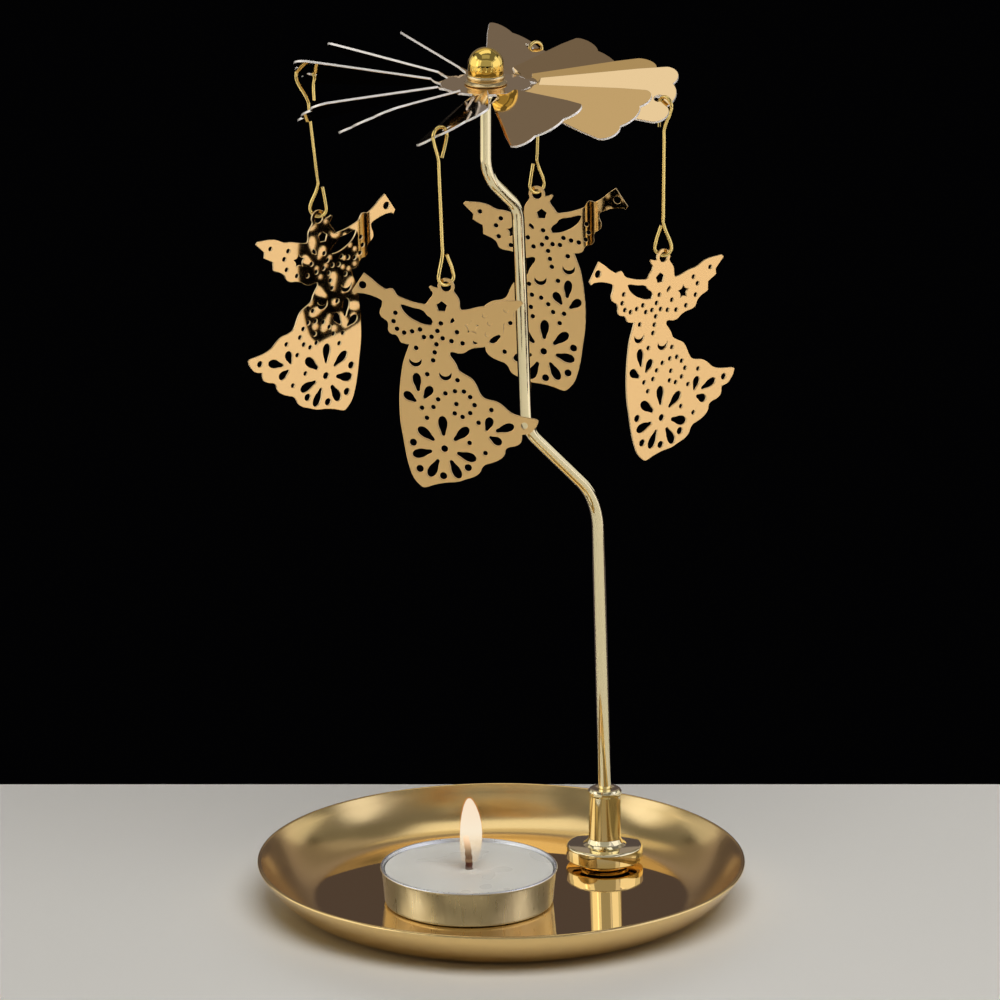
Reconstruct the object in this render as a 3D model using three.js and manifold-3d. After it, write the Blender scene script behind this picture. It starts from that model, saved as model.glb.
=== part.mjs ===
// Candle carousel: the warm air of a tealight turns a wheel of twisted vanes on a needle, and four
// flat trumpet figures hang from the vanes on wire hooks. A bent pole carries the wheel over a dish.
// Millimetres, +Z up. The origin is the middle of the dish's flat underside, and -Y is the front.
import * as THREE from "three";
import { mergeVertices } from "three/addons/utils/BufferGeometryUtils.js";
import Module from "manifold-3d";

const wasm = await Module();
wasm.setup();

const degrees = THREE.MathUtils.degToRad;

// Gaps between pieces that touch
const seatGap = 0.05; // flat faces laid on each other
const slipGap = 0.15; // a round piece in its bore, all round
const overrun = 1; // how far a cutter runs past what it cuts

// Dish, pressed from sheet
const dishRadius = 52.35;
const dishHeight = 9.35;
const dishFlatRadius = 40;
const dishSheet = 0.9;
const padRadius = 5.25; // the pressed-up pad that the socket stands on
const padLift = 1;
const socketReach = 31.7; // from the dish's middle to the socket's
const socketTurn = degrees(44.9);

// Pole socket, turned, with its screw from below
const flangeRadius = 8.1;
const flangeThickness = 3.2;
const flangeRound = 0.7;
const neckRadius = 4.7;
const neckHeight = 1.3;
const collarRadius = 3.5;
const collarChamfer = 0.8;
const socketHeight = 15.4;
const poleBoreDepth = 6.4;
const screwRadius = 1.2;
const screwDepth = 5.6; // of thread in the socket
const screwHeadRadius = 3.1;
const screwHeadThickness = 0.75;
const screwHeadChamfer = 0.25;
const screwSlotWidth = 0.8;
const screwSlotDepth = 0.35;

// Wheel and hub
const wheelX = -3.24;
const wheelY = -0.07;
const wheelHeight = 180.1; // of the plate's middle plane
const wheelSheet = 0.5;
const firstVaneTurn = -10.5; // degrees
const discRadius = 9.5;
const vaneNeckWidth = 2.2;
const vaneRootReach = 11.3; // where the vane has its full twist
const vaneRootWidth = 5.8;
const vaneEndReach = 37.2;
const vaneEndWidth = 17.2;
const vaneTipReach = 40.7;
const notchReach = 39.4;
const notchSpan = 7; // between the two notches of a vane's end
const lobeReach = 40.1;
const lobeSpan = 12.2; // between the crowns of the outer lobes
const hangHoleReach = 37.3;
const hangHoleOffset = 1.28;
const hangHoleRadius = 1.08;
// The vanes in turn, in degrees: each is bent by hand at its neck, so no two are quite alike
const vanes = [
  { aside: -2, twist: 28.5, droop: 0.4 },
  { aside: 0.5, twist: 15, droop: 3.5 },
  { aside: -1, twist: 26.5, droop: 4 },
  { aside: -2, twist: 28, droop: 0 },
  { aside: -2.5, twist: 29, droop: 2 },
  { aside: -2, twist: 28.5, droop: 0 },
  { aside: 0.5, twist: 28.5, droop: -2.6 },
  { aside: -0.5, twist: 26, droop: 5.9 },
  { aside: 0.5, twist: 27, droop: 1 },
  { aside: 0, twist: 29, droop: -0.3 },
  { aside: 0, twist: 26, droop: 0 },
  { aside: 0, twist: 25.5, droop: 1 },
];
const capFlangeRadius = 4.5;
const capFlangeThickness = 0.8;
const capRadius = 3.8;
const capHeight = 7.8;
const capDomeHeight = 4.6;
const sleeveRadius = 1.8;
const sleeveLength = 3.2;
const sleeveCone = 1;
const sleeveTipRadius = 1.35;
const spigotRadius = 1.2;
const spigotLength = 3.2;
const dimpleDepth = 1.6;
const capCrown = 2.1; // metal left above the dimple
const needleRadius = 0.6;
const needlePoint = 2;
const needleGrip = 6; // how deep the needle sits in the pole

// Pole: straight runs between rounded bends, in the upright plane through socket and wheel axis.
// Each bend has its height and its share of the way from the socket to the wheel's axis.
const poleRadius = 1.35;
const poleTopGap = 0.4; // under the hub's sleeve
const lowBendHeight = 83.95;
const lowBendShare = 0.072;
const lowBendRadius = 16;
const middleBendRise = 19.05; // above the bend below it
const middleBendShare = 0.667;
const middleBendRadius = 9;
const upperBendRise = 49;
const upperBendShare = 0.738;
const upperBendRadius = 6;
const topBendRise = 8.4;
const topBendRadius = 10;
const poleBendStep = degrees(9); // between the rings of a bend

// Hanger hooks, bent by hand from one wire each
const wireRadius = 0.375;
const topLoopRadius = 1.9;
const lowLoopRadius = 1.75;
const loopNeck = 5.25; // from a loop's middle to its neck
const freeEndAside = 0.95;
const freeEndDrop = 4.7;
const hookDrop = 32.5; // from the hole to the low loop's wire, about
const loopOut = 1.95; // from the hole to the top loop's middle
const loopDown = 1.1;
const loopTurn = degrees(-38); // from the vane's own direction, out past its notch

// The four hangers, each bent a little differently. lowShares, of the hook's drop, go from the hole to
// the low loop's wire. A neck lies off its loop's middle, and the top's free end steps aside by splay,
// both in shares of the loop's radius. Turns are in degrees.
const hangers = [
  {
    vane: 6,
    lowShares: [0.033, 0.054, -0.9705],
    lowTurn: -5,
    topNeckShare: -0.58,
    lowNeckShare: 0,
    splayShare: 0.26,
    figureTurn: 215.7,
    figureLean: 1.2,
  },
  {
    vane: 9,
    lowShares: [-0.008, -0.019, -1.0135],
    lowTurn: 26,
    topNeckShare: 0.21,
    lowNeckShare: 0.46,
    splayShare: 0,
    figureTurn: -13.1,
    figureLean: -1.05,
  },
  {
    vane: 3,
    lowShares: [0.0535, 0.034, -0.9925],
    lowTurn: 208,
    topNeckShare: 0.68,
    lowNeckShare: 0,
    splayShare: 0,
    figureTurn: 165.7,
    figureLean: 0.9,
  },
  {
    vane: 0,
    lowShares: [0.0315, 0.003, -1.038],
    lowTurn: 178,
    topNeckShare: -0.16,
    lowNeckShare: 0,
    splayShare: -0.21,
    figureTurn: 38.8,
    figureLean: -1.05,
  },
];

// Trumpet figures, cut from sheet
const figureHeight = 43.5; // from the ring's middle to the hem
const figureSheet = 0.4;
const ringRadius = 1.8;
const ringHoleRadius = 1.1;
const ringFrom = degrees(-26); // where the ring grows out of the head
const ringTo = degrees(192);
const ringHang = 0.36; // from the wire's middle down to the ring's middle
// The cut-outs' sizes, in shares of the figure's height
const dotShare = 0.0115;
const bigDotShare = 0.0175;
const petalLengthShare = 0.099;
const petalWidthShare = 0.0437;
const crescentWidthShare = 0.0644;
const crescentDropShare = 0.0414;
const crescentThicknessShare = 0.0207;
const wingStarShare = 0.031;
const shortPetalShare = 0.8; // of a whole petal

// Tealight
const candleX = -6.9;
const candleY = -3.73;
const cupRadius = 18.7;
const cupFootRadius = 18.1;
const cupHeight = 8;
const cupWall = 0.4;
const cupLipWidth = 0.3;
const cupLipDrop = 0.7;
const waxDepth = 6.3;
const waxDip = 0.5;
const waxMelt = 5; // radius of the hollow round the wick
const wickRadius = 0.8;
const wickRise = 8.2; // above the wax
const wickLean = 1.1;
const sustainerRadius = 6;
const sustainerSheet = 0.35;
const sustainerCollarHeight = 2.6;
const sustainerCollarWall = 0.4;

// A mesh as a manifold solid, and back
function solidOf(geometry) {
  geometry.deleteAttribute("normal");
  geometry.deleteAttribute("uv");
  const merged = mergeVertices(geometry, 1e-4);
  return new wasm.Manifold(
    new wasm.Mesh({
      numProp: 3,
      vertProperties: new Float32Array(merged.attributes.position.array),
      triVerts: new Uint32Array(merged.index.array),
    }),
  );
}

function geometryOf(solid) {
  const mesh = solid.getMesh();
  const geometry = new THREE.BufferGeometry();
  geometry.setAttribute("position", new THREE.BufferAttribute(mesh.vertProperties, 3));
  geometry.setIndex(new THREE.BufferAttribute(mesh.triVerts, 1));
  geometry.computeVertexNormals();
  return geometry;
}

function metal(color, roughness) {
  return new THREE.MeshStandardMaterial({ color, roughness, metalness: 1 });
}

function named(name, geometry, material) {
  const mesh = new THREE.Mesh(geometry, material);
  mesh.name = name;
  return mesh;
}

// A turned piece from its half profile of [radius, height] points, about the Z axis
function turned(profile, sides) {
  const points = profile.map(([radius, height]) => new THREE.Vector2(radius, height));
  return new THREE.LatheGeometry(points, sides).rotateX(Math.PI / 2);
}

function cylinder(radius, low, high, sides) {
  return turned([[0, low], [radius, low], [radius, high], [0, high]], sides);
}

// Points on a circle's arc in the half profile plane
function arc(x, y, radius, from, to, steps) {
  return Array.from({ length: steps + 1 }, (_, i) => {
    const a = from + ((to - from) * i) / steps;
    return [x + radius * Math.cos(a), y + radius * Math.sin(a)];
  });
}

// A wire or rod whose rings sit at the given points
class RodPath extends THREE.CatmullRomCurve3 {
  getUtoTmapping(u) {
    return u;
  }
}

function rod(points, radius, sides) {
  const section = new THREE.Shape(
    Array.from({ length: sides }, (_, i) => {
      const a = (2 * Math.PI * i) / sides;
      return new THREE.Vector2(radius * Math.cos(a), radius * Math.sin(a));
    }),
  );
  return new THREE.ExtrudeGeometry(section, {
    steps: points.length - 1,
    bevelEnabled: false,
    extrudePath: new RodPath(points),
  });
}

const floorHeight = dishSheet;
const socketX = socketReach * Math.cos(socketTurn);
const socketY = socketReach * Math.sin(socketTurn);
const socketBase = floorHeight + padLift + seatGap;
const socketTop = socketBase + socketHeight;
const screwBoreRadius = screwRadius + slipGap;
const poleBoreRadius = poleRadius + slipGap;
const plateTop = wheelHeight + wheelSheet / 2;
const plateBottom = wheelHeight - wheelSheet / 2;
const sleeveBottom = plateBottom - seatGap - sleeveLength;
const poleTop = sleeveBottom - poleTopGap;

function makeDish() {
  const half = dishSheet / 2;
  const wallRun = dishRadius - half - dishFlatRadius;
  const wallRise = dishHeight - dishSheet;
  const steps = 4;
  const outside = [];
  const inside = [];
  for (let i = 0; i <= steps; i++) {
    const t = i / steps;
    const slope = new THREE.Vector2(wallRun, 2 * wallRise * t).normalize();
    const x = dishFlatRadius + wallRun * t;
    const z = half + wallRise * t * t;
    outside.push([x + half * slope.y, z - half * slope.x]);
    inside.unshift([x - half * slope.y, z + half * slope.x]);
  }
  const end = new THREE.Vector2(wallRun, 2 * wallRise);
  const across = end.angle() - Math.PI / 2;
  const lip = arc(dishRadius - half, dishHeight - half, half, across, across + Math.PI, 3).slice(1, -1);
  const profile = [[0, 0], ...outside, ...lip, ...inside, [0, dishSheet]];
  const pan = solidOf(turned(profile, 44));
  const pad = turned(
    [[0, half], [padRadius + half, half], [padRadius, floorHeight + padLift], [0, floorHeight + padLift]],
    16,
  ).translate(socketX, socketY, 0);
  const recess = turned(
    [[0, -overrun], [padRadius, -overrun], [padRadius, 0], [padRadius - half, padLift], [0, padLift]],
    16,
  ).translate(socketX, socketY, 0);
  const bore = cylinder(screwBoreRadius, 0, socketBase + overrun, 16).translate(socketX, socketY, 0);
  return geometryOf(pan.add(solidOf(pad)).subtract(solidOf(recess)).subtract(solidOf(bore)));
}

function makeSocket() {
  const shoulder = flangeThickness + neckHeight;
  const waistRun = neckRadius - collarRadius;
  const waist = arc(neckRadius, 0, waistRun, -Math.PI / 2, -Math.PI, 4).map(([radius, z]) => [
    radius,
    shoulder + (z / waistRun) * neckHeight,
  ]);
  const edge = arc(flangeRadius - flangeRound, flangeThickness - flangeRound, flangeRound, 0, Math.PI / 2, 3);
  const profile = [
    [0, screwDepth],
    [screwBoreRadius, screwDepth],
    [screwBoreRadius, 0],
    [flangeRadius - flangeRound / 2, 0],
    [flangeRadius, flangeRound / 2],
    ...edge,
    ...waist,
    [collarRadius, socketHeight - collarChamfer],
    [collarRadius - collarChamfer, socketHeight],
    [poleBoreRadius, socketHeight],
    [poleBoreRadius, socketHeight - poleBoreDepth],
    [0, socketHeight - poleBoreDepth],
  ];
  return turned(profile, 16).translate(socketX, socketY, socketBase);
}

function makeSocketScrew() {
  const headTop = padLift - seatGap;
  const headLow = headTop - screwHeadThickness;
  const profile = [
    [0, headLow],
    [screwHeadRadius - screwHeadChamfer, headLow],
    [screwHeadRadius, headLow + screwHeadChamfer],
    [screwHeadRadius, headTop],
    [screwRadius, headTop],
    [screwRadius, socketBase + screwDepth - screwHeadChamfer * 2],
    [screwRadius - screwHeadChamfer, socketBase + screwDepth - screwHeadChamfer],
    [0, socketBase + screwDepth - screwHeadChamfer],
  ];
  const slotLength = 2 * (screwHeadRadius + overrun);
  const slot = new THREE.BoxGeometry(slotLength, screwSlotWidth, 2 * screwSlotDepth).translate(0, 0, headLow);
  return geometryOf(solidOf(turned(profile, 16)).subtract(solidOf(slot))).translate(socketX, socketY, 0);
}

// The pole's plane: how far along from the socket's axis to the wheel's, and how high
function onPolePlane(along, height) {
  const full = Math.hypot(wheelX - socketX, wheelY - socketY);
  return new THREE.Vector3(
    socketX + ((wheelX - socketX) * along) / full,
    socketY + ((wheelY - socketY) * along) / full,
    height,
  );
}

function polePoints() {
  const span = Math.hypot(wheelX - socketX, wheelY - socketY);
  const foot = [0, socketTop - poleBoreDepth + 2 * slipGap];
  const middleHeight = lowBendHeight + middleBendRise;
  const upperHeight = middleHeight + upperBendRise;
  const corners = [
    { at: [0, socketTop], bend: lowBendRadius },
    { at: [lowBendShare * span, lowBendHeight], bend: lowBendRadius },
    { at: [middleBendShare * span, middleHeight], bend: middleBendRadius },
    { at: [upperBendShare * span, upperHeight], bend: upperBendRadius },
    { at: [span, upperHeight + topBendRise], bend: topBendRadius },
  ];
  const top = [span, poleTop];
  const flat = [new THREE.Vector2(...foot)];
  corners.forEach(({ at, bend }, i) => {
    const corner = new THREE.Vector2(...at);
    const before = new THREE.Vector2(...(i ? corners[i - 1].at : foot));
    const after = new THREE.Vector2(...(corners[i + 1]?.at ?? top));
    const back = before.sub(corner).normalize();
    const on = after.sub(corner).normalize();
    const turn = Math.PI - Math.acos(THREE.MathUtils.clamp(back.dot(on), -1, 1));
    const tangent = bend * Math.tan(turn / 2);
    const middle = back.clone().add(on).normalize();
    const centre = corner.clone().addScaledVector(middle, bend / Math.cos(turn / 2));
    const from = corner.clone().addScaledVector(back, tangent).sub(centre).angle();
    const side = Math.sign(back.x * on.y - back.y * on.x);
    const steps = Math.max(1, Math.ceil(turn / poleBendStep));
    for (let k = 0; k <= steps; k++) {
      const a = from - (side * turn * k) / steps;
      flat.push(new THREE.Vector2(centre.x + bend * Math.cos(a), centre.y + bend * Math.sin(a)));
    }
  });
  flat.push(new THREE.Vector2(...top));
  return flat.map((p) => onPolePlane(p.x, p.y));
}

function makePole() {
  const bore = cylinder(needleRadius + seatGap, poleTop - needleGrip, poleTop + overrun, 12);
  bore.translate(wheelX, wheelY, 0);
  return geometryOf(solidOf(rod(polePoints(), poleRadius, 10)).subtract(solidOf(bore)));
}

const dimpleTip = plateTop + seatGap + capHeight - capCrown;

function makeNeedle() {
  const tip = dimpleTip - seatGap;
  const low = poleTop - needleGrip + seatGap;
  const profile = [[0, low], [needleRadius, low], [needleRadius, tip - needlePoint], [0, tip]];
  return turned(profile, 12).translate(wheelX, wheelY, 0);
}

const spigotBoreRadius = spigotRadius + slipGap;
const needleRoom = spigotRadius - slipGap * 2;

function makeHubCap() {
  const base = plateTop + seatGap;
  const dome = [];
  const steps = 6;
  for (let i = 0; i < steps; i++) {
    const a = (Math.PI / 2) * (i / steps);
    dome.push([capRadius * Math.cos(a), base + capHeight - capDomeHeight * (1 - Math.sin(a))]);
  }
  const profile = [
    [0, dimpleTip],
    [needleRoom, dimpleTip - dimpleDepth],
    [needleRoom, plateBottom + spigotLength + slipGap],
    [spigotBoreRadius, plateBottom + spigotLength + slipGap],
    [spigotBoreRadius, base],
    [capFlangeRadius, base],
    [capFlangeRadius, base + capFlangeThickness / 2],
    [capRadius, base + capFlangeThickness],
    ...dome,
    [0, base + capHeight],
  ];
  return turned(profile, 16).translate(wheelX, wheelY, 0);
}

function makeHubSleeve() {
  const shoulder = plateBottom - seatGap;
  const profile = [
    [needleRoom, sleeveBottom],
    [sleeveTipRadius, sleeveBottom],
    [sleeveRadius, sleeveBottom + sleeveCone],
    [sleeveRadius, shoulder],
    [spigotRadius, shoulder],
    [spigotRadius, plateBottom + spigotLength],
    [needleRoom, plateBottom + spigotLength],
    [needleRoom, sleeveBottom],
  ];
  return turned(profile, 12).translate(wheelX, wheelY, 0);
}

// The arc through three points, without its last one
function throughThree(a, b, c, steps) {
  const ab = b.clone().sub(a);
  const ac = c.clone().sub(a);
  const cross = 2 * (ab.x * ac.y - ab.y * ac.x);
  const centre = new THREE.Vector2(
    a.x + (ac.y * ab.lengthSq() - ab.y * ac.lengthSq()) / cross,
    a.y + (ab.x * ac.lengthSq() - ac.x * ab.lengthSq()) / cross,
  );
  const from = a.clone().sub(centre).angle();
  let to = c.clone().sub(centre).angle();
  if (cross > 0 && to < from) to += 2 * Math.PI;
  if (cross < 0 && to > from) to -= 2 * Math.PI;
  const radius = a.distanceTo(centre);
  return arc(centre.x, centre.y, radius, from, to, steps)
    .slice(0, -1)
    .map(([x, y]) => new THREE.Vector2(x, y));
}

// Vane end: three round lobes with two notches between them
function vaneOutline() {
  const at = (x, y) => new THREE.Vector2(x, y);
  const notch = at(notchReach, notchSpan / 2);
  const lowNotch = at(notchReach, -notchSpan / 2);
  const corner = at(vaneEndReach, vaneEndWidth / 2);
  const lowCorner = at(vaneEndReach, -vaneEndWidth / 2);
  const end = [
    ...throughThree(lowCorner, at(lobeReach, -lobeSpan / 2), lowNotch, 4),
    ...throughThree(lowNotch, at(vaneTipReach, 0), notch, 4),
    ...throughThree(notch, at(lobeReach, lobeSpan / 2), corner, 4),
    corner,
  ];
  const neck = vaneNeckWidth / 2;
  const cut = (vaneRootWidth / 2 - neck) / 2;
  const half = vaneRootWidth / 2;
  const middleReach = (discRadius + vaneRootReach) / 2;
  return [
    at(discRadius - wheelSheet, -neck),
    at(discRadius, -neck),
    at(middleReach, -neck),
    at(vaneRootReach - cut, -neck - cut),
    at(vaneRootReach, -half),
    ...end,
    at(vaneRootReach, half),
    at(vaneRootReach - cut, neck + cut),
    at(middleReach, neck),
    at(discRadius, neck),
    at(discRadius - wheelSheet, neck),
  ];
}

// Where a point of the flat vane k lands, once the vane is twisted and bent at its neck
function onVane(k, x, y, z) {
  const { aside, twist, droop } = vanes[k];
  const way = THREE.MathUtils.clamp((x - discRadius) / (vaneRootReach - discRadius), 0, 1);
  return new THREE.Vector3(x, y, z)
    .applyAxisAngle(new THREE.Vector3(1, 0, 0), degrees(twist) * way)
    .sub(new THREE.Vector3(discRadius, 0, 0))
    .applyAxisAngle(new THREE.Vector3(0, 1, 0), degrees(droop) * way)
    .add(new THREE.Vector3(discRadius, 0, 0))
    .applyAxisAngle(new THREE.Vector3(0, 0, 1), vaneTurn(k) + degrees(aside) * way);
}

function vaneTurn(k) {
  return degrees(firstVaneTurn) + (2 * Math.PI * k) / vanes.length;
}

function makeWheel() {
  const disc = cylinder(discRadius, -wheelSheet / 2, wheelSheet / 2, 36);
  const bore = cylinder(spigotBoreRadius, -overrun, overrun, 16);
  let wheel = solidOf(disc).subtract(solidOf(bore));
  vanes.forEach((vane, k) => {
    const shape = new THREE.Shape(vaneOutline());
    if (hangers.some((hanger) => hanger.vane === k)) {
      const hole = new THREE.Path();
      hole.absellipse(hangHoleReach, -hangHoleOffset, hangHoleRadius, hangHoleRadius, 0, 2 * Math.PI);
      shape.holes.push(hole);
    }
    const sheet = { depth: wheelSheet, bevelEnabled: false, curveSegments: 6 };
    const blade = new THREE.ExtrudeGeometry(shape, sheet);
    blade.translate(0, 0, -wheelSheet / 2);
    const place = blade.attributes.position;
    for (let i = 0; i < place.count; i++) {
      place.setXYZ(i, ...onVane(k, place.getX(i), place.getY(i), place.getZ(i)));
    }
    wheel = wheel.add(solidOf(blade));
  });
  return geometryOf(wheel).translate(wheelX, wheelY, wheelHeight);
}

// One loop's points from its neck round to its free end. up is 1 for a loop above its neck.
function loopPoints(centre, turn, radius, up, neckShare, splayShare) {
  const along = new THREE.Vector3(Math.cos(turn), Math.sin(turn), 0);
  const at = (a, z) => centre.clone().addScaledVector(along, a).add(new THREE.Vector3(0, 0, up * z));
  const touch = Math.asin(radius / loopNeck);
  const neck = neckShare * radius;
  const steps = 8;
  const points = [at(neck, -loopNeck)];
  for (let i = 0; i <= steps; i++) {
    const a = -touch + ((Math.PI + 2 * touch) * i) / steps;
    points.push(at(radius * Math.cos(a), radius * Math.sin(a)));
  }
  points.push(at(neck - freeEndAside, -freeEndDrop).add(new THREE.Vector3(splayShare * radius, 0, 0)));
  return points;
}

function hookLayout(hanger) {
  const hole = onVane(hanger.vane, hangHoleReach, -hangHoleOffset, 0);
  hole.add(new THREE.Vector3(wheelX, wheelY, wheelHeight));
  const topTurn = vaneTurn(hanger.vane) + loopTurn;
  const top = hole.clone().add(
    new THREE.Vector3(loopOut * Math.cos(topTurn), loopOut * Math.sin(topTurn), -loopDown),
  );
  const lowWire = hole.clone().addScaledVector(new THREE.Vector3(...hanger.lowShares), hookDrop);
  const low = lowWire.clone().add(new THREE.Vector3(0, 0, lowLoopRadius));
  return { topTurn, top, low, lowWire };
}

function makeHook(hanger) {
  const { topTurn, top, low } = hookLayout(hanger);
  const upper = loopPoints(top, topTurn, topLoopRadius, 1, hanger.topNeckShare, hanger.splayShare);
  const lowTurn = degrees(hanger.lowTurn) + Math.PI;
  const lower = loopPoints(low, lowTurn, lowLoopRadius, -1, hanger.lowNeckShare, 0);
  return rod([...upper.reverse(), ...lower], wireRadius, 6);
}

// The trumpet figure's outline and cut-outs, in shares of its height: right of the ring, then up
const hairShares = [[-0.075, 0.002], [-0.083, -0.006], [-0.066, -0.033]];
const faceShares = [[-0.069, -0.046], [-0.085, -0.067], [-0.105, -0.091]];
const trumpetShares = [
  [-0.168, -0.081], [-0.21, -0.067], [-0.24, -0.053], [-0.253, -0.033], [-0.265, -0.021], [-0.295, -0.025],
  [-0.338, 0.001], [-0.404, 0.052], [-0.462, -0.039], [-0.452, -0.059], [-0.439, -0.05], [-0.323, -0.076],
];
const sleeveShares = [
  [-0.314, -0.09], [-0.326, -0.13], [-0.324, -0.154], [-0.293, -0.181], [-0.288, -0.225], [-0.276, -0.242],
  [-0.25, -0.249], [-0.229, -0.281], [-0.212, -0.289], [-0.186, -0.292],
];
const gownShares = [
  [-0.198, -0.325], [-0.217, -0.38], [-0.231, -0.455], [-0.24, -0.573], [-0.237, -0.675], [-0.225, -0.753],
  [-0.206, -0.86], [-0.18, -0.945], [-0.148, -0.986], [-0.122, -1],
];
const hemShares = [
  [-0.079, -0.984], [-0.019, -0.97], [0.04, -0.963], [0.088, -0.948], [0.14, -0.921], [0.158, -0.892],
  [0.176, -0.873], [0.201, -0.864], [0.246, -0.844], [0.271, -0.819], [0.281, -0.786], [0.332, -0.77],
  [0.352, -0.752], [0.358, -0.716],
];
const trainShares = [
  [0.398, -0.706], [0.422, -0.683], [0.44, -0.643], [0.429, -0.636], [0.331, -0.619], [0.302, -0.606],
  [0.263, -0.573], [0.234, -0.557], [0.19, -0.547], [0.168, -0.536], [0.141, -0.48], [0.12, -0.452],
  [0.073, -0.424], [0.054, -0.41], [0.04, -0.38], [0.013, -0.337], [0.014, -0.324],
];
const wingShares = [
  [0.055, -0.327], [0.085, -0.322], [0.107, -0.307], [0.133, -0.297], [0.193, -0.283], [0.214, -0.248],
  [0.276, -0.216], [0.278, -0.172], [0.329, -0.145], [0.326, -0.117], [0.377, -0.067], [0.366, -0.055],
  [0.264, -0.062], [0.205, -0.087], [0.134, -0.1], [0.073, -0.113],
];
const headShares = [[0.065, -0.089], [0.064, -0.067], [0.054, -0.046], [0.042, -0.03]];
const crownShares = [[-0.024, -0.073], [0, -0.091], [-0.009, -0.121], [-0.04, -0.123], [-0.046, -0.094]];
const armShares = [
  [-0.226, -0.1], [-0.168, -0.11], [-0.113, -0.124], [-0.098, -0.143], [-0.068, -0.177], [-0.076, -0.194],
  [-0.11, -0.191], [-0.149, -0.177], [-0.187, -0.155],
];
const slitShares = [[0.016, -0.178], [0.02, -0.162], [0.038, -0.148], [0.046, -0.163], [0.026, -0.18]];
const wingStarShares = [[0.122, -0.195]];
const crescentShares = [[-0.157, -0.36], [-0.013, -0.422]];
const dotShares = [
  [-0.251, -0.14], [-0.261, -0.182], [-0.245, -0.219], [-0.21, -0.236], [-0.171, -0.228], [-0.132, -0.217],
  [-0.114, -0.254], [-0.076, -0.251], [-0.047, -0.221], [-0.029, -0.183], [-0.022, -0.256], [0.049, -0.223],
  [0.021, -0.268], [0.075, -0.277], [0.137, -0.267], [-0.053, -0.287], [-0.062, -0.327], [-0.071, -0.367],
  [-0.153, -0.309], [-0.101, -0.437], [0.047, -0.46], [0.033, -0.515], [0.077, -0.515], [-0.014, -0.528],
  [-0.05, -0.559], [-0.074, -0.598], [-0.13, -0.604], [-0.107, -0.653], [0.107, -0.541], [0.128, -0.58],
  [0.039, -0.578], [0.03, -0.625], [0.068, -0.641], [0.106, -0.62], [0.21, -0.6], [0.146, -0.666],
  [0.1, -0.768], [0.177, -0.815], [0.292, -0.103], [0.186, -0.133], [0.211, -0.17], [0.198, -0.225],
];
const bigDotShares = [
  [-0.023, -0.802], [-0.176, -0.777], [-0.146, -0.906], [-0.031, -0.937], [0.091, -0.891], [0.371, -0.67],
  [-0.409, -0.009],
];
// Petals: where the pointed end is, and which way the petal points
const flowerShares = [-0.023, -0.802];
const flowerInnerShare = 0.062;
const petalTurns = [90, 37, -15, -66, -114, -166, 143].map(degrees);
const sprigPetals = [
  { atShares: [-0.146, -0.524], turn: degrees(96), whole: true },
  { atShares: [-0.157, -0.575], turn: degrees(144), whole: false },
  { atShares: [-0.12, -0.558], turn: degrees(57), whole: false },
  { atShares: [0.183, -0.705], turn: degrees(70), whole: false },
  { atShares: [0.229, -0.705], turn: degrees(19), whole: true },
  { atShares: [0.197, -0.733], turn: degrees(-28), whole: false },
];

function scaled(shares) {
  return shares.map(([x, y]) => new THREE.Vector2(x * figureHeight, y * figureHeight));
}

function polygon(centre, radius, sides, turn) {
  return Array.from({ length: sides }, (_, i) => {
    const a = turn + (2 * Math.PI * i) / sides;
    return new THREE.Vector2(centre.x + radius * Math.cos(a), centre.y + radius * Math.sin(a));
  });
}

function petal(at, turn, wholeShare) {
  const length = petalLengthShare * figureHeight * wholeShare;
  const width = petalWidthShare * figureHeight;
  const outlineShares = [[0, 0], [0.7, -0.47], [1, -0.17], [1, 0.17], [0.7, 0.47]];
  return outlineShares.map(([x, y]) => {
    const place = new THREE.Vector2(x * length, y * width);
    return place.rotateAround(new THREE.Vector2(), turn).add(at);
  });
}

function crescent(tips) {
  const half = (crescentWidthShare * figureHeight) / 2;
  const at = (x, y) => new THREE.Vector2(tips.x + x, tips.y + y);
  const drop = crescentDropShare * figureHeight;
  const inside = drop - crescentThicknessShare * figureHeight;
  return [
    ...throughThree(at(-half, 0), at(0, -drop), at(half, 0), 4),
    ...throughThree(at(half, 0), at(0, -inside), at(-half, 0), 3),
  ];
}

function figureHoles() {
  const [flower] = scaled([flowerShares]);
  const inner = flowerInnerShare * figureHeight;
  const flowerPetals = petalTurns.map((turn) => {
    const at = flower.clone().add(new THREE.Vector2(inner * Math.cos(turn), inner * Math.sin(turn)));
    return petal(at, turn, 1);
  });
  const sprigs = sprigPetals.map(({ atShares, turn, whole }) =>
    petal(scaled([atShares])[0], turn, whole ? 1 : shortPetalShare),
  );
  return [
    polygon(new THREE.Vector2(), ringHoleRadius, 10, Math.PI / 2),
    scaled(crownShares),
    scaled(armShares),
    scaled(slitShares),
    ...scaled(wingStarShares).map((p) => polygon(p, wingStarShare * figureHeight, 5, Math.PI / 2)),
    ...scaled(crescentShares).map(crescent),
    ...scaled(dotShares).map((p) => polygon(p, dotShare * figureHeight, 4, 0)),
    ...scaled(bigDotShares).map((p) => polygon(p, bigDotShare * figureHeight, 6, 0)),
    ...flowerPetals,
    ...sprigs,
  ];
}

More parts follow.
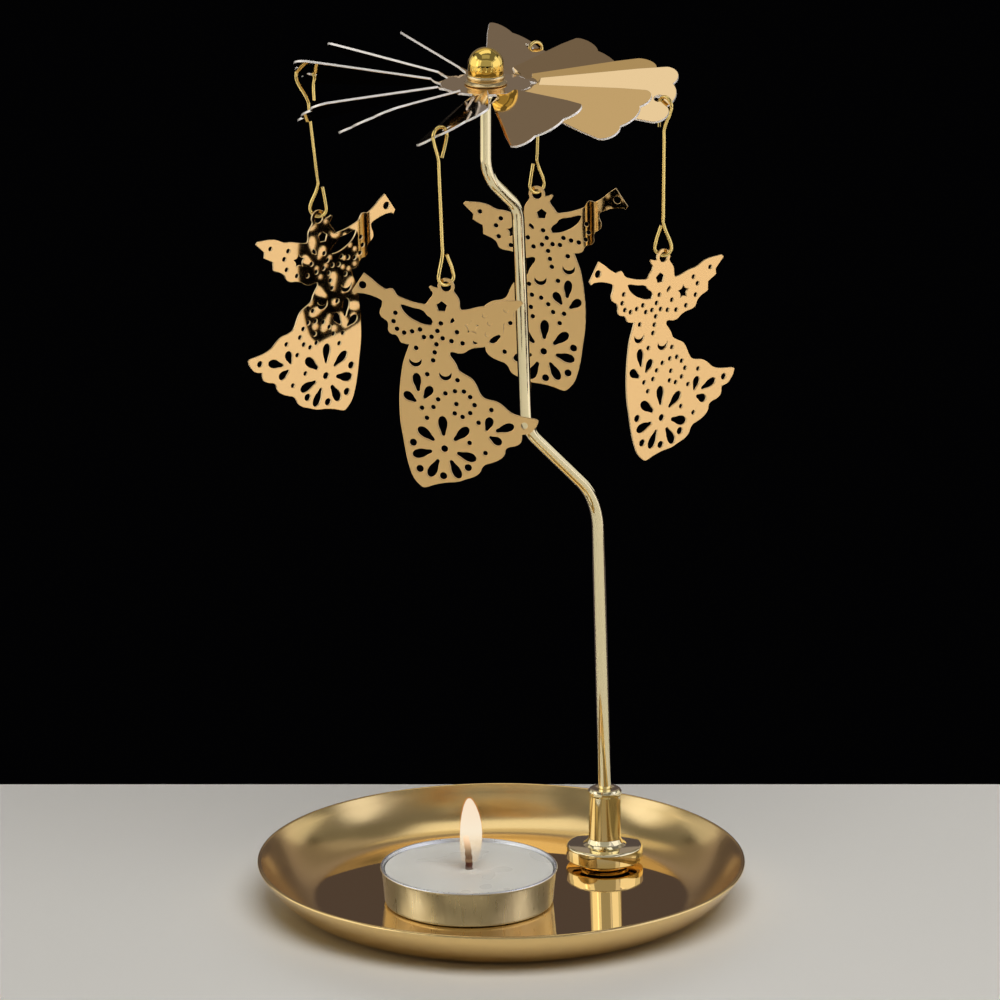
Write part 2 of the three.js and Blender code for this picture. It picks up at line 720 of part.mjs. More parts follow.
function makeFigure() {
  const outline = [
    hairShares,
    faceShares,
    trumpetShares,
    sleeveShares,
    gownShares,
    hemShares,
    trainShares,
    wingShares,
    headShares,
  ].flatMap(scaled);
  const ring = arc(0, 0, ringRadius, ringFrom, ringTo, 9).map(([x, y]) => new THREE.Vector2(x, y));
  const shape = new THREE.Shape([...outline, ...ring]);
  figureHoles().forEach((points) => shape.holes.push(new THREE.Path(points)));
  const sheet = new THREE.ExtrudeGeometry(shape, { depth: figureSheet, bevelEnabled: false });
  return geometryOf(solidOf(sheet.translate(0, 0, -figureSheet / 2).rotateX(Math.PI / 2)));
}

const candleBase = floorHeight + seatGap;

function makeCup() {
  const top = cupHeight;
  const profile = [
    [0, 0],
    [cupFootRadius - cupWall, 0],
    [cupFootRadius, cupWall],
    [cupRadius, top - cupLipDrop],
    [cupRadius + cupLipWidth, top - cupLipDrop / 2],
    [cupRadius + cupLipWidth / 2, top],
    [cupRadius - cupWall, top - cupLipDrop / 4],
    [cupFootRadius - cupWall, cupWall],
    [0, cupWall],
  ];
  return turned(profile, 28).translate(candleX, candleY, candleBase);
}

const waxBottom = cupWall + seatGap;
const sustainerTop = waxBottom + sustainerSheet;
const waxTop = waxBottom + waxDepth;

function makeWax() {
  const foot = cupFootRadius - cupWall - slipGap;
  const inside = cupRadius - cupWall - slipGap;
  const edge = foot + ((inside - foot) * waxTop) / cupHeight;
  const collar = wickRadius + slipGap + sustainerCollarWall + slipGap;
  const wickRoom = wickRadius + slipGap;
  const profile = [
    [wickRoom, sustainerTop + sustainerCollarHeight + slipGap],
    [collar, sustainerTop + sustainerCollarHeight + slipGap],
    [collar, sustainerTop + slipGap],
    [sustainerRadius + slipGap, sustainerTop + slipGap],
    [sustainerRadius + slipGap, waxBottom],
    [foot, waxBottom],
    [edge, waxTop],
    [waxMelt, waxTop],
    [wickRoom, waxTop - waxDip],
    [wickRoom, sustainerTop + sustainerCollarHeight + slipGap],
  ];
  return turned(profile, 28).translate(candleX, candleY, candleBase);
}

function makeSustainer() {
  const bore = wickRadius + slipGap;
  const profile = [
    [bore, waxBottom],
    [sustainerRadius, waxBottom],
    [sustainerRadius, sustainerTop],
    [bore + sustainerCollarWall, sustainerTop],
    [bore + sustainerCollarWall, sustainerTop + sustainerCollarHeight],
    [bore, sustainerTop + sustainerCollarHeight],
    [bore, waxBottom],
  ];
  return turned(profile, 14).translate(candleX, candleY, candleBase);
}

// The wick's rings: shares of its lean to the left and of its rise
const wickShares = [[0, 0.1], [0.1, 0.4], [0.4, 0.7], [1, 1]];

function makeWick() {
  const at = (x, z) => new THREE.Vector3(candleX + x, candleY, candleBase + z);
  const foot = waxTop - waxDip;
  const rings = wickShares.map(([lean, rise]) => at(-wickLean * lean, foot + wickRise * rise));
  return rod([at(0, waxBottom + seatGap), ...rings], wickRadius, 8);
}

const dishGold = metal(0xc9a96a, 0.25);
const paleGold = metal(0xd8c79a, 0.15);
const brassGold = metal(0xe0b45c, 0.15);
const vaneGold = metal(0xcfae78, 0.12);
const figureGold = metal(0xd6ac62, 0.15);
const plainSteel = metal(0xb5b4b0, 0.3);
const aluminium = metal(0xd4d2cc, 0.3);
const wax = new THREE.MeshStandardMaterial({ color: 0xd9d6cc, roughness: 0.5, metalness: 0 });
const charredWick = new THREE.MeshStandardMaterial({ color: 0x3a1c10, roughness: 0.9, metalness: 0 });

const carousel = new THREE.Group();
carousel.add(
  named("dish", makeDish(), dishGold),
  named("pole_socket", makeSocket(), paleGold),
  named("socket_screw", makeSocketScrew(), plainSteel),
  named("pole", makePole(), paleGold),
  named("pivot_needle", makeNeedle(), plainSteel),
  named("hub_cap", makeHubCap(), brassGold),
  named("hub_sleeve", makeHubSleeve(), brassGold),
  named("vane_wheel", makeWheel(), vaneGold),
  named("tealight_cup", makeCup(), aluminium),
  named("candle_wax", makeWax(), wax),
  named("wick", makeWick(), charredWick),
  named("wick_sustainer", makeSustainer(), plainSteel),
);

const figure = makeFigure();
hangers.forEach((hanger, i) => {
  const { lowWire } = hookLayout(hanger);
  carousel.add(named(`hanger_hook_${i + 1}`, makeHook(hanger), brassGold));
  const angel = named(`angel_${i + 1}`, figure, figureGold);
  angel.position.copy(lowWire).add(new THREE.Vector3(0, 0, -ringHang));
  angel.rotation.set(0, degrees(hanger.figureLean), degrees(hanger.figureTurn), "ZYX");
  carousel.add(angel);
});

export default carousel;
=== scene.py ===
import math

import bmesh
import bpy
from mathutils import Matrix, Vector


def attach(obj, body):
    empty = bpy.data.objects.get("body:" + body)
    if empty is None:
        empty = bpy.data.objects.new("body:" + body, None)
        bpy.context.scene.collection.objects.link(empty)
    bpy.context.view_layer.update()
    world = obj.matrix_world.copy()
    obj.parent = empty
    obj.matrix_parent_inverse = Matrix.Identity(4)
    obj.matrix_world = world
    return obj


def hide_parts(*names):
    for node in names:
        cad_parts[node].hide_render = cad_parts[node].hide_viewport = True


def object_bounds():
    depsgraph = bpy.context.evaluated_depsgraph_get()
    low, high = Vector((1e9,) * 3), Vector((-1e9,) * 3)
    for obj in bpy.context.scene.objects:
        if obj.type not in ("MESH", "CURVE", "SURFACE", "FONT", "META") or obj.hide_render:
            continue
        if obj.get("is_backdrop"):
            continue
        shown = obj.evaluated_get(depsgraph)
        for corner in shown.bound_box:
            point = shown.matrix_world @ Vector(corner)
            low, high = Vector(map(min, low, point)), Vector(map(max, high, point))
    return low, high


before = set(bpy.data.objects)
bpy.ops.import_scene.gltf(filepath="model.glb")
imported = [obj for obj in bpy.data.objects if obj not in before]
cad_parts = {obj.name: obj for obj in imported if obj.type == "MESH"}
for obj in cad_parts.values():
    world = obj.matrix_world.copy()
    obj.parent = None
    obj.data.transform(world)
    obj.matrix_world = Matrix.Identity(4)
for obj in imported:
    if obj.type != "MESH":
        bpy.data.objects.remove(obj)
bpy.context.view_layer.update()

# Candle carousel. Shapes are worked in millimetres and turned to metres when a piece is placed.
mm = 0.001
perMetre = 1000  # scale of a noise with features of 1 mm
scene = bpy.context.scene


def colour(hexText):
    # A hex colour, turned from sRGB to the linear values that Blender works with
    parts = [int(hexText[i : i + 2], 16) / 255 for i in (1, 3, 5)]
    return [p / 12.92 if p <= 0.04045 else ((p + 0.055) / 1.055) ** 2.4 for p in parts] + [1]


def node(tree, kind, inputs=None, **settings):
    made = tree.nodes.new(kind)
    for name, value in settings.items():
        setattr(made, name, value)
    for name, value in (inputs or {}).items():
        if isinstance(value, bpy.types.NodeSocket):
            tree.links.new(value, made.inputs[name])
        else:
            made.inputs[name].default_value = value
    return made


def newMaterial(name, **values):
    material = bpy.data.materials.new(name)
    material.use_nodes = True
    shader = material.node_tree.nodes["Principled BSDF"]
    for key, value in values.items():
        shader.inputs[key.replace("_", " ")].default_value = value
    return material, material.node_tree, shader


def objectPlace(tree):
    return node(tree, "ShaderNodeTexCoord").outputs["Object"]


def noise(tree, place, size, detail, **more):
    # Noise with features of about this size in mm
    values = {"Vector": place, "Scale": perMetre / size, "Detail": detail, **more}
    return node(tree, "ShaderNodeTexNoise", values).outputs["Fac"]


def spread(tree, value, low, high, toLow=0.0, toHigh=1.0, **settings):
    # Stretches what lies from low to high onto another span
    values = {"Value": value, "From Min": low, "From Max": high, "To Min": toLow, "To Max": toHigh}
    return node(tree, "ShaderNodeMapRange", values, **settings).outputs["Result"]


def bump(tree, height, strength, depth, under=None):
    # Relief of a depth in mm, on top of the relief under it
    values = {"Height": height, "Strength": strength, "Distance": depth * mm}
    if under:
        values["Normal"] = under
    return node(tree, "ShaderNodeBump", values).outputs["Normal"]


def blend(tree, share, low, high):
    return node(tree, "ShaderNodeMix", {"Factor": share, 6: low, 7: high}, data_type="RGBA").outputs[2]


def platedMetal(name, base, roughness, smudge, wave, waveSize, grain=0.25):
    # Gold plating on brass. smudge adds roughness in soft patches, as handled polish has, wave is the
    # height in mm of the slow unevenness that bends its reflections, and grain is polishing marks in mm
    material, tree, shader = newMaterial(name, Base_Color=colour(base), Metallic=1.0, Roughness=roughness)
    place = objectPlace(tree)
    patches = noise(tree, place, 9, 4.0, Roughness=0.6)
    rough = spread(tree, patches, 0.35, 0.75, roughness, roughness + smudge)
    tree.links.new(rough, shader.inputs["Roughness"])
    slow = bump(tree, noise(tree, place, waveSize, 1.0), 1.0, wave)
    fine = bump(tree, noise(tree, place, grain, 2.0), 0.12, 0.002, slow)
    tree.links.new(fine, shader.inputs["Normal"])
    return material


# Polished sheet with champagne-gold plating: a cool mirror that takes the colour of what stands round it
vaneGold = platedMetal("champagneGoldPlate", "#e7c896", 0.03, 0.03, 0.006, 16)
# The figures' sheet is plated a warmer gold and is a little hazy
figureGold = platedMetal("warmGoldPlate", "#f0c786", 0.025, 0.02, 0.012, 12)
# Turned and polished brass: yellow, with sharp reflections
domeGold = platedMetal("polishedBrass", "#fcd870", 0.05, 0.04, 0.004, 6)
# The rod and its socket have a pale gold plating, almost silver where they catch the light
rodGold = platedMetal("paleGoldPlate", "#fdeec0", 0.05, 0.04, 0.006, 8)
# The ring below the dome is less polished: it blurs what it reflects
ringGold = platedMetal("satinGoldPlate", "#f0d8a4", 0.22, 0.06, 0.004, 6)
# Bent brass wire: bright lines of light along it
wireGold = platedMetal("brassWire", "#f7d986", 0.07, 0.05, 0.003, 3)
# Where the sheet is sheared, the bare metal is pale, and its burnished edge scatters light
cutEdge = platedMetal("shearedEdge", "#fffaf4", 0.4, 0.1, 0.004, 2)
cutEdge.node_tree.nodes["Principled BSDF"].inputs["Metallic"].default_value = 0.7
# The figures were plated after they were cut, so their edges are gold too, but duller than the faces
platedEdge = platedMetal("platedEdge", "#f6dcaa", 0.35, 0.1, 0.004, 2)
# Plain steel of the pieces inside: grey and soft in its reflections
steel = platedMetal("brightSteel", "#c9c8c4", 0.22, 0.1, 0.002, 2)


def dishGold():
    # Pressed brass sheet with gold plating: the floor keeps the mirror of the rolled sheet, and the wall
    # is satin where it was drawn and brushed round, up to a polished lip
    looks = {
        "floorRadius": 39.2, "floorBlend": 1.5, "lipRadius": 51.6, "lipBlend": 0.4, "floorRough": 0.03,
        "wallRough": 0.19, "lipRough": 0.1, "markWidth": 0.35,
    }
    material, tree, shader = newMaterial("goldPlatedDish", Base_Color=colour("#f0d090"), Metallic=1.0)
    place = objectPlace(tree)
    apart = node(tree, "ShaderNodeSeparateXYZ", {"Vector": place})
    x, y = apart.outputs["X"], apart.outputs["Y"]
    square = node(tree, "ShaderNodeMath", {0: x, 1: x}, operation="MULTIPLY").outputs["Value"]
    both = node(tree, "ShaderNodeMath", {0: y, 1: y, 2: square}, operation="MULTIPLY_ADD").outputs["Value"]
    radius = node(tree, "ShaderNodeMath", {0: both}, operation="SQRT").outputs["Value"]
    floorEdge, lipEdge = looks["floorRadius"], looks["lipRadius"]
    onWall = spread(tree, radius, floorEdge * mm, (floorEdge + looks["floorBlend"]) * mm)
    onLip = spread(tree, radius, lipEdge * mm, (lipEdge + looks["lipBlend"]) * mm)
    patches = noise(tree, place, 12, 5.0)
    haze = spread(tree, patches, 0.3, 0.7, looks["wallRough"] - 0.02, looks["wallRough"] + 0.04)
    wall = node(tree, "ShaderNodeMix", {"Factor": onWall, "A": looks["floorRough"], "B": haze}).outputs["Result"]
    rough = node(tree, "ShaderNodeMix", {"Factor": onLip, "A": wall, "B": looks["lipRough"]}).outputs["Result"]
    tree.links.new(rough, shader.inputs["Roughness"])
    # Brushing marks run round the wall: noise drawn by radius alone
    values = {"W": radius, "Scale": perMetre / looks["markWidth"], "Detail": 3.0}
    rings = node(tree, "ShaderNodeTexNoise", values, noise_dimensions="1D").outputs["Fac"]
    depth = node(tree, "ShaderNodeMath", {0: rings, 1: onWall}, operation="MULTIPLY").outputs["Value"]
    tree.links.new(bump(tree, depth, 0.35, 0.004), shader.inputs["Normal"])
    return material


def cupFoil():
    # Thin drawn aluminium: bright, with soft dents from handling and faint upright drawing marks
    material, tree, shader = newMaterial("drawnAluminium", Base_Color=colour("#f2f4f8"), Metallic=1.0)
    place = objectPlace(tree)
    along = node(tree, "ShaderNodeMapping", {"Vector": place, "Scale": (1.0, 1.0, 0.1)}).outputs["Vector"]
    marks = noise(tree, along, 0.8, 2.0)
    tree.links.new(spread(tree, marks, 0.3, 0.7, 0.26, 0.34), shader.inputs["Roughness"])
    dents = bump(tree, noise(tree, place, 7, 2.0), 1.0, 0.16)
    tree.links.new(bump(tree, marks, 0.1, 0.002, dents), shader.inputs["Normal"])
    return material


def paraffin():
    # Paraffin wax, half melted: light sinks in a few millimetres, and its gloss is slightly uneven
    material, tree, shader = newMaterial(
        "paraffinWax", Base_Color=colour("#dcdad2"), Roughness=0.28, IOR=1.44, Subsurface_Weight=0.12,
        Subsurface_Radius=(1.0, 0.9, 0.7), Subsurface_Scale=2.5 * mm,
    )
    cloud = noise(tree, objectPlace(tree), 9, 1.0)
    tree.links.new(spread(tree, cloud, 0.3, 0.7, 0.24, 0.36), shader.inputs["Roughness"])
    tree.links.new(blend(tree, cloud, colour("#d9d9d2"), colour("#dfded7")), shader.inputs["Base Color"])
    return material


def charredCotton(baseHeight, tipHeight):
    # Braided cotton, pale where the wax wets it, charred above, and glowing at the tip
    looks = {"charRise": 1.2, "glowDrop": 3.0, "heat": 1.2, "braid": 6, "braidDepth": 0.12}
    material, tree, shader = newMaterial("charredCotton", Roughness=0.85)
    place = objectPlace(tree)
    height = node(tree, "ShaderNodeSeparateXYZ", {"Vector": place}).outputs["Z"]
    up = spread(tree, height, baseHeight * mm, (baseHeight + looks["charRise"]) * mm)
    glow = spread(tree, height, (tipHeight - looks["glowDrop"]) * mm, tipHeight * mm)
    low = blend(tree, up, colour("#b9aea4"), colour("#5a2a18"))
    tint = blend(tree, glow, low, colour("#d98a2a"))
    tree.links.new(tint, shader.inputs["Base Color"])
    tree.links.new(tint, shader.inputs["Emission Color"])
    heat = node(tree, "ShaderNodeMath", {0: glow, 1: looks["heat"]}, operation="MULTIPLY").outputs["Value"]
    tree.links.new(heat, shader.inputs["Emission Strength"])
    values = {"Vector": place, "Scale": perMetre / looks["braid"], "Distortion": 3.0}
    weave = node(tree, "ShaderNodeTexWave", values, bands_direction="DIAGONAL").outputs["Fac"]
    tree.links.new(bump(tree, weave, 0.7, looks["braidDepth"]), shader.inputs["Normal"])
    return material


def flameGlow(name, bottomHeight, fullHeight, lowHex, highHex, strength, clearLow, clearHigh):
    # A candle flame gives light and lets the wick show through near its foot
    material, tree, shader = newMaterial(
        name, Base_Color=colour("#000000"), Roughness=1.0, Specular_IOR_Level=0.0, Emission_Strength=strength,
    )
    height = node(tree, "ShaderNodeSeparateXYZ", {"Vector": objectPlace(tree)}).outputs["Z"]
    up = spread(tree, height, bottomHeight * mm, fullHeight * mm, interpolation_type="SMOOTHSTEP")
    tree.links.new(blend(tree, up, colour(lowHex), colour(highHex)), shader.inputs["Emission Color"])
    tree.links.new(spread(tree, up, 0.0, 1.0, clearLow, clearHigh), shader.inputs["Alpha"])
    return material


def keep(name, bm, materials, body, replaced=(), sharp=40):
    # The mesh is in mm; its faces point outwards, and edges sharper than the angle stay crisp
    bmesh.ops.recalc_face_normals(bm, faces=bm.faces)
    bmesh.ops.scale(bm, vec=(mm, mm, mm), verts=bm.verts)
    mesh = bpy.data.meshes.new(name)
    bm.to_mesh(mesh)
    bm.free()
    mesh.shade_smooth()
    mesh.set_sharp_from_angle(angle=math.radians(sharp))
    for material in materials:
        mesh.materials.append(material)
    piece = bpy.data.objects.new(name, mesh)
    scene.collection.objects.link(piece)
    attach(piece, body)
    if replaced:
        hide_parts(*replaced)


def spinProfile(bm, profile, steps, centre=(0, 0)):
    # Turns a half profile of (radius, height) points about an upright axis through the centre
    corners = [bm.verts.new((radius, 0, height)) for radius, height in profile]
    edges = [bm.edges.new(pair) for pair in zip(corners, corners[1:])]
    before = set(bm.verts) - set(corners)
    bmesh.ops.spin(
        bm, geom=corners + edges, cent=(0, 0, 0), axis=(0, 0, 1), angle=2 * math.pi, steps=steps, use_merge=True,
    )
    made = [v for v in bm.verts if v not in before]
    bmesh.ops.remove_doubles(bm, verts=made, dist=1e-4)
    made = [v for v in bm.verts if v not in before]
    bmesh.ops.translate(bm, vec=(centre[0], centre[1], 0), verts=made)
    return made


def arcPoints(x, z, radius, start, stop, steps):
    angles = [math.radians(start + (stop - start) * i / steps) for i in range(steps + 1)]
    return [(x + radius * math.cos(a), z + radius * math.sin(a)) for a in angles]


def roundedProfile(profile, radii, steps=4):
    # Rounds the corners of a half profile; the radii are given by corner number
    done = []
    for i, corner in enumerate(profile):
        radius = radii.get(i)
        if not radius:
            done.append(corner)
            continue
        here = Vector(corner)
        back = (Vector(profile[i - 1]) - here).normalized()
        on = (Vector(profile[i + 1]) - here).normalized()
        half = back.angle(on) / 2
        reach = radius / math.tan(half)
        middle = here + (back + on).normalized() * radius / math.sin(half)
        start = here + back * reach - middle
        stop = here + on * reach - middle
        turn = start.angle_signed(stop)
        for k in range(steps + 1):
            done.append(tuple(middle + Matrix.Rotation(-turn * k / steps, 2) @ start))
    return done


def wireMesh(points, radius, sides=6, smooth=True, steps=4):
    # A round wire through the points, made as a curve and turned to a mesh
    curve = bpy.data.curves.new("wire", "CURVE")
    curve.dimensions = "3D"
    curve.bevel_depth = radius
    curve.bevel_resolution = sides
    curve.use_fill_caps = True
    if smooth:
        spline = curve.splines.new("BEZIER")
        spline.bezier_points.add(len(points) - 1)
        spline.resolution_u = steps
        for knot, point in zip(spline.bezier_points, points):
            knot.co = point
            knot.handle_left_type = knot.handle_right_type = "AUTO"
    else:
        spline = curve.splines.new("POLY")
        spline.points.add(len(points) - 1)
        for knot, point in zip(spline.points, points):
            knot.co = (*point, 1)
    return bmeshFromCurve(curve)


def bmeshFromCurve(curve):
    holder = bpy.data.objects.new("curveHolder", curve)
    scene.collection.objects.link(holder)
    mesh = bpy.data.meshes.new_from_object(holder)
    bpy.data.objects.remove(holder)
    bm = bmesh.new()
    bm.from_mesh(mesh)
    bpy.data.meshes.remove(mesh)
    bmesh.ops.remove_doubles(bm, verts=bm.verts, dist=1e-4)
    return bm


def sheetMesh(outlines, thickness, edge, steps=4):
    # A flat sheet from closed outlines, the first the outer one. Corners of over 50 degrees stay corners,
    # except in round holes and petals, which have 4 and 8 points
    curve = bpy.data.curves.new("sheet", "CURVE")
    curve.dimensions = "2D"
    curve.fill_mode = "BOTH"
    curve.extrude = thickness / 2 - edge
    curve.bevel_depth = edge
    curve.bevel_resolution = 1
    curve.offset = -edge
    for outline in outlines:
        spline = curve.splines.new("BEZIER")
        spline.bezier_points.add(len(outline) - 1)
        spline.resolution_u = steps
        spline.use_cyclic_u = True
        count = len(outline)
        for i, knot in enumerate(spline.bezier_points):
            here = Vector(outline[i])
            back = here - Vector(outline[i - 1])
            on = Vector(outline[(i + 1) % count]) - here
            knot.co = (*here, 0)
            corner = count not in (4, 8) and back.angle(on) > math.radians(50)
            knot.handle_left_type = knot.handle_right_type = "VECTOR" if corner else "AUTO"
    return bmeshFromCurve(curve)


def ringOutline(x, y, radius, count=4, turn=0.0):
    angles = [turn + 2 * math.pi * i / count for i in range(count)]
    return [(x + radius * math.cos(a), y + radius * math.sin(a)) for a in angles]


# The camera stands where the photograph was taken from, solved from the dish's rim and foot
camera = bpy.data.objects.new("photoCamera", bpy.data.cameras.new("photoCamera"))
camera.data.lens = 337.95
camera.data.sensor_width = 36
camera.data.clip_end = 20
camera.location = (-0.564 * mm, -1912.38 * mm, 649.507 * mm)
camera.rotation_euler = (math.pi / 2 - 0.2849, 0, -0.00016)
scene.collection.objects.link(camera)
scene.camera = camera
print("camera placed")


dish = {
    "radius": 52.35, "height": 9.35, "flatRadius": 40.0, "sheet": 0.9, "padRadius": 5.25, "padTop": 1.9,
    "recessDepth": 1.0, "screwBore": 1.35, "padRound": 0.25, "padFlare": 0.5, "overrun": 1, "boreTop": 3,
    "steps": 160,
}
socket = {
    "x": 22.454, "y": 22.376, "base": 1.95, "steps": 96,
    # half profile from the screw's bore round by flange, neck and collar into the pole's bore
    "profile": [
        (0, 5.6), (1.35, 5.6), (1.35, 0), (8.0, 0), (8.3, 0.25), (8.3, 3.3), (4.7, 3.3), (4.0, 3.75), (3.5, 4.7),
        (3.42, 14.4), (3.64, 14.8), (3.64, 15.4), (3.2, 15.95), (1.5, 15.95), (1.5, 9.0), (0, 9.0),
    ],
    "rounds": {4: 0.15, 5: 0.6, 6: 0.2, 7: 0.5, 8: 0.6, 9: 0.15, 10: 0.2, 11: 0.2, 12: 0.3, 13: 0.25},
}


def makeDish():
    half = dish["sheet"] / 2
    run = dish["radius"] - half - dish["flatRadius"]
    rise = dish["height"] - dish["sheet"]
    outside, inside = [], []
    for i in range(13):
        t = i / 12
        slope = Vector((run, 2 * rise * t)).normalized()
        x, z = dish["flatRadius"] + run * t, half + rise * t * t
        outside.append((x + half * slope.y, z - half * slope.x))
        inside.append((x - half * slope.y, z + half * slope.x))
    lean = math.degrees(Vector((run, 2 * rise)).to_2d().angle_signed(Vector((1, 0))))
    lip = arcPoints(dish["radius"] - half, dish["height"] - half, half, lean - 90, lean + 90, 10)[1:-1]
    bm = bmesh.new()
    spinProfile(bm, [(0, 0), *outside, *lip, *inside[::-1], (0, dish["sheet"])], dish["steps"])
    return bm


def cutBy(bm, tool, operation):
    # Joins or cuts one closed mesh with another
    objects = []
    for name, shape in (("whole", bm), ("tool", tool)):
        bmesh.ops.recalc_face_normals(shape, faces=shape.faces)
        mesh = bpy.data.meshes.new(name)
        shape.to_mesh(mesh)
        shape.free()
        objects.append(bpy.data.objects.new(name, mesh))
        scene.collection.objects.link(objects[-1])
    change = objects[0].modifiers.new("cut", "BOOLEAN")
    change.operation = operation
    change.object = objects[1]
    change.solver = "EXACT"
    done = bmesh.new()
    depsgraph = bpy.context.evaluated_depsgraph_get()
    done.from_object(objects[0], depsgraph)
    for used in objects:
        bpy.data.objects.remove(used)
    return done


def turnedTool(profile, steps, centre):
    tool = bmesh.new()
    spinProfile(tool, profile, steps, centre)
    return tool


centre = (socket["x"], socket["y"])
half = dish["sheet"] / 2
padRadius, padTop, padRound = dish["padRadius"], dish["padTop"], dish["padRound"]
pad = turnedTool(
    [
        (0, half), (padRadius + dish["padFlare"], half), (padRadius, padTop - padRound),
        (padRadius - padRound, padTop), (0, padTop),
    ],
    48, centre,
)
recess = turnedTool(
    [
        (0, -dish["overrun"]), (padRadius, -dish["overrun"]), (padRadius, 0),
        (padRadius - dish["padFlare"], dish["recessDepth"]), (0, dish["recessDepth"]),
    ],
    48, centre,
)
boreRadius, boreTop = dish["screwBore"], dish["boreTop"]
bore = turnedTool([(0, 0), (boreRadius, 0), (boreRadius, boreTop), (0, boreTop)], 24, centre)
shape = cutBy(makeDish(), pad, "UNION")
shape = cutBy(shape, recess, "DIFFERENCE")
shape = cutBy(shape, bore, "DIFFERENCE")
keep("pressedDish", shape, [dishGold()], "base", ["dish"], 30)

bm = bmesh.new()
spinProfile(bm, roundedProfile(socket["profile"], socket["rounds"]), socket["steps"], centre)
bmesh.ops.translate(bm, vec=(0, 0, socket["base"]), verts=bm.verts)
keep("poleSocket", bm, [rodGold], "base", ["pole_socket"], 60)
print("dish and socket made")


# The pole has straight runs and round bends in the upright plane through socket and wheel
wheel = {"x": -3.24, "y": -0.07, "height": 180.1, "sheet": 0.5}
pole = {
    "radius": 1.35, "foot": 11.25, "top": 176.2, "socketTop": 17.35,
    "bends": [(0.072, 83.95, 16), (0.667, 103, 9), (0.738, 152, 6), (1.0, 160.4, 10)],  # share, height, radius
}


def polePath():
    span = math.hypot(wheel["x"] - socket["x"], wheel["y"] - socket["y"])
    corners = [((share * span, height), radius) for share, height, radius in pole["bends"]]
    flat = [(0, pole["foot"]), (0, pole["socketTop"])] + [at for at, radius in corners] + [(span, pole["top"])]
    radii = {i + 2: radius for i, (at, radius) in enumerate(corners)}
    path = roundedProfile(flat, radii, 14)
    way = Vector((wheel["x"] - socket["x"], wheel["y"] - socket["y"], 0)) / span
    return [Vector((socket["x"], socket["y"], 0)) + way * along + Vector((0, 0, height)) for along, height in path]


rod = wireMesh(polePath(), pole["radius"], sides=10, smooth=False)
keep("bentPole", rod, [rodGold], "base", ["pole"], 60)
print("pole made")


hub = {
    "flange": 4.5, "dome": 3.8, "height": 7.8, "domeRise": 3.7, "seatGap": 0.05, "ringTop": 2.12, "domeFoot": 2.16,
    "dimple": [(0, 5.7), (0.9, 4.1), (0.9, 0)],
    # the flange, out from its own radius, and the ring, out from the dome's, both with heights
    "flangeForm": [(-0.15, 0), (0, 0.15), (0, 0.3), (-0.15, 0.42)],
    "ringForm": [(0.25, 0.6), (0.02, 0.85), (0.1, 1.1), (0.24, 1.45), (0.24, 1.75), (0.12, 2.02), (-0.04, 2.12)],
}


def makeHub():
    base = wheel["height"] + wheel["sheet"] / 2 + hub["seatGap"]
    straight = base + hub["height"] - hub["domeRise"]
    foot = [(radius, base + height) for radius, height in hub["dimple"]]
    foot += [(hub["flange"] + out, base + height) for out, height in hub["flangeForm"]]
    foot += [(hub["dome"] + out, base + height) for out, height in hub["ringForm"]]
    turns = [math.radians(a) for a in range(0, 90, 6)]
    dome = [(hub["dome"] * math.cos(a), straight + hub["domeRise"] * math.sin(a)) for a in turns]
    profile = [*foot, (hub["dome"], base + hub["domeFoot"]), *dome, (0, base + hub["height"])]
    bm = bmesh.new()
    spinProfile(bm, profile, 96, (wheel["x"], wheel["y"]))
    for face in bm.faces:
        face.material_index = 1 if face.calc_center_median().z < base + hub["ringTop"] else 0
    return bm


keep("hubCap", makeHub(), [domeGold, ringGold], "carousel", ["hub_cap"], 50)
sleeve = {"foot": 176.6, "cone": 1.0, "tip": 1.35, "radius": 1.8, "bore": 0.9, "spigot": 1.2, "spigotRise": 3.2}
under = wheel["height"] - wheel["sheet"] / 2
seat, spigotTop = under - hub["seatGap"], under + sleeve["spigotRise"]
sleeveProfile = [
    (sleeve["bore"], sleeve["foot"]), (sleeve["tip"], sleeve["foot"]),
    (sleeve["radius"], sleeve["foot"] + sleeve["cone"]), (sleeve["radius"], seat), (sleeve["spigot"], seat),
    (sleeve["spigot"], spigotTop), (sleeve["bore"], spigotTop), (sleeve["bore"], sleeve["foot"]),
]
bm = bmesh.new()
spinProfile(bm, roundedProfile(sleeveProfile, {1: 0.12, 2: 0.3, 3: 0.12}), 64, (wheel["x"], wheel["y"]))
keep("hubSleeve", bm, [rodGold], "carousel", ["hub_sleeve"], 60)
print("hub made")


# Wheel of twelve vanes cut and twisted from one sheet
blade = {
    "disc": 9.5, "neck": 1.1, "rootReach": 11.3, "root": 2.9, "cornerReach": 37.2, "corner": 8.6, "crownReach": 40.1,
    "crown": 6.1, "notchReach": 39.4, "notch": 3.5, "tipReach": 40.7, "hole": (37.3, -1.28), "holeRadius": 1.08,
    "edge": 0.07, "firstTurn": -10.5, "count": 12, "neckStrips": 6, "overlap": 0.1, "neckEnd": 0.9, "neckStep": 0.55,
    "neckFlare": 0.45, "discBore": 1.35, "flatFace": 0.9,
    "bends": [  # turn aside, twist and droop in degrees, vane by vane
        (-2, 28.5, 0.4), (0.5, 15, 3.5), (-1, 26.5, 4), (-2, 28, 0), (-2.5, 29, 2), (-2, 28.5, 0),
        (0.5, 28.5, -2.6), (-0.5, 26, 5.9), (0.5, 27, 1), (0, 29, -0.3), (0, 26, 0), (0, 25.5, 1),
    ],
    "hung": (0, 3, 6, 9),
}


def markEdges(bm):
    # The flat faces keep the first material, and the sheet's cut edges get the second
    for face in bm.faces:
        face.material_index = 0 if abs(face.normal.z) > blade["flatFace"] else 1


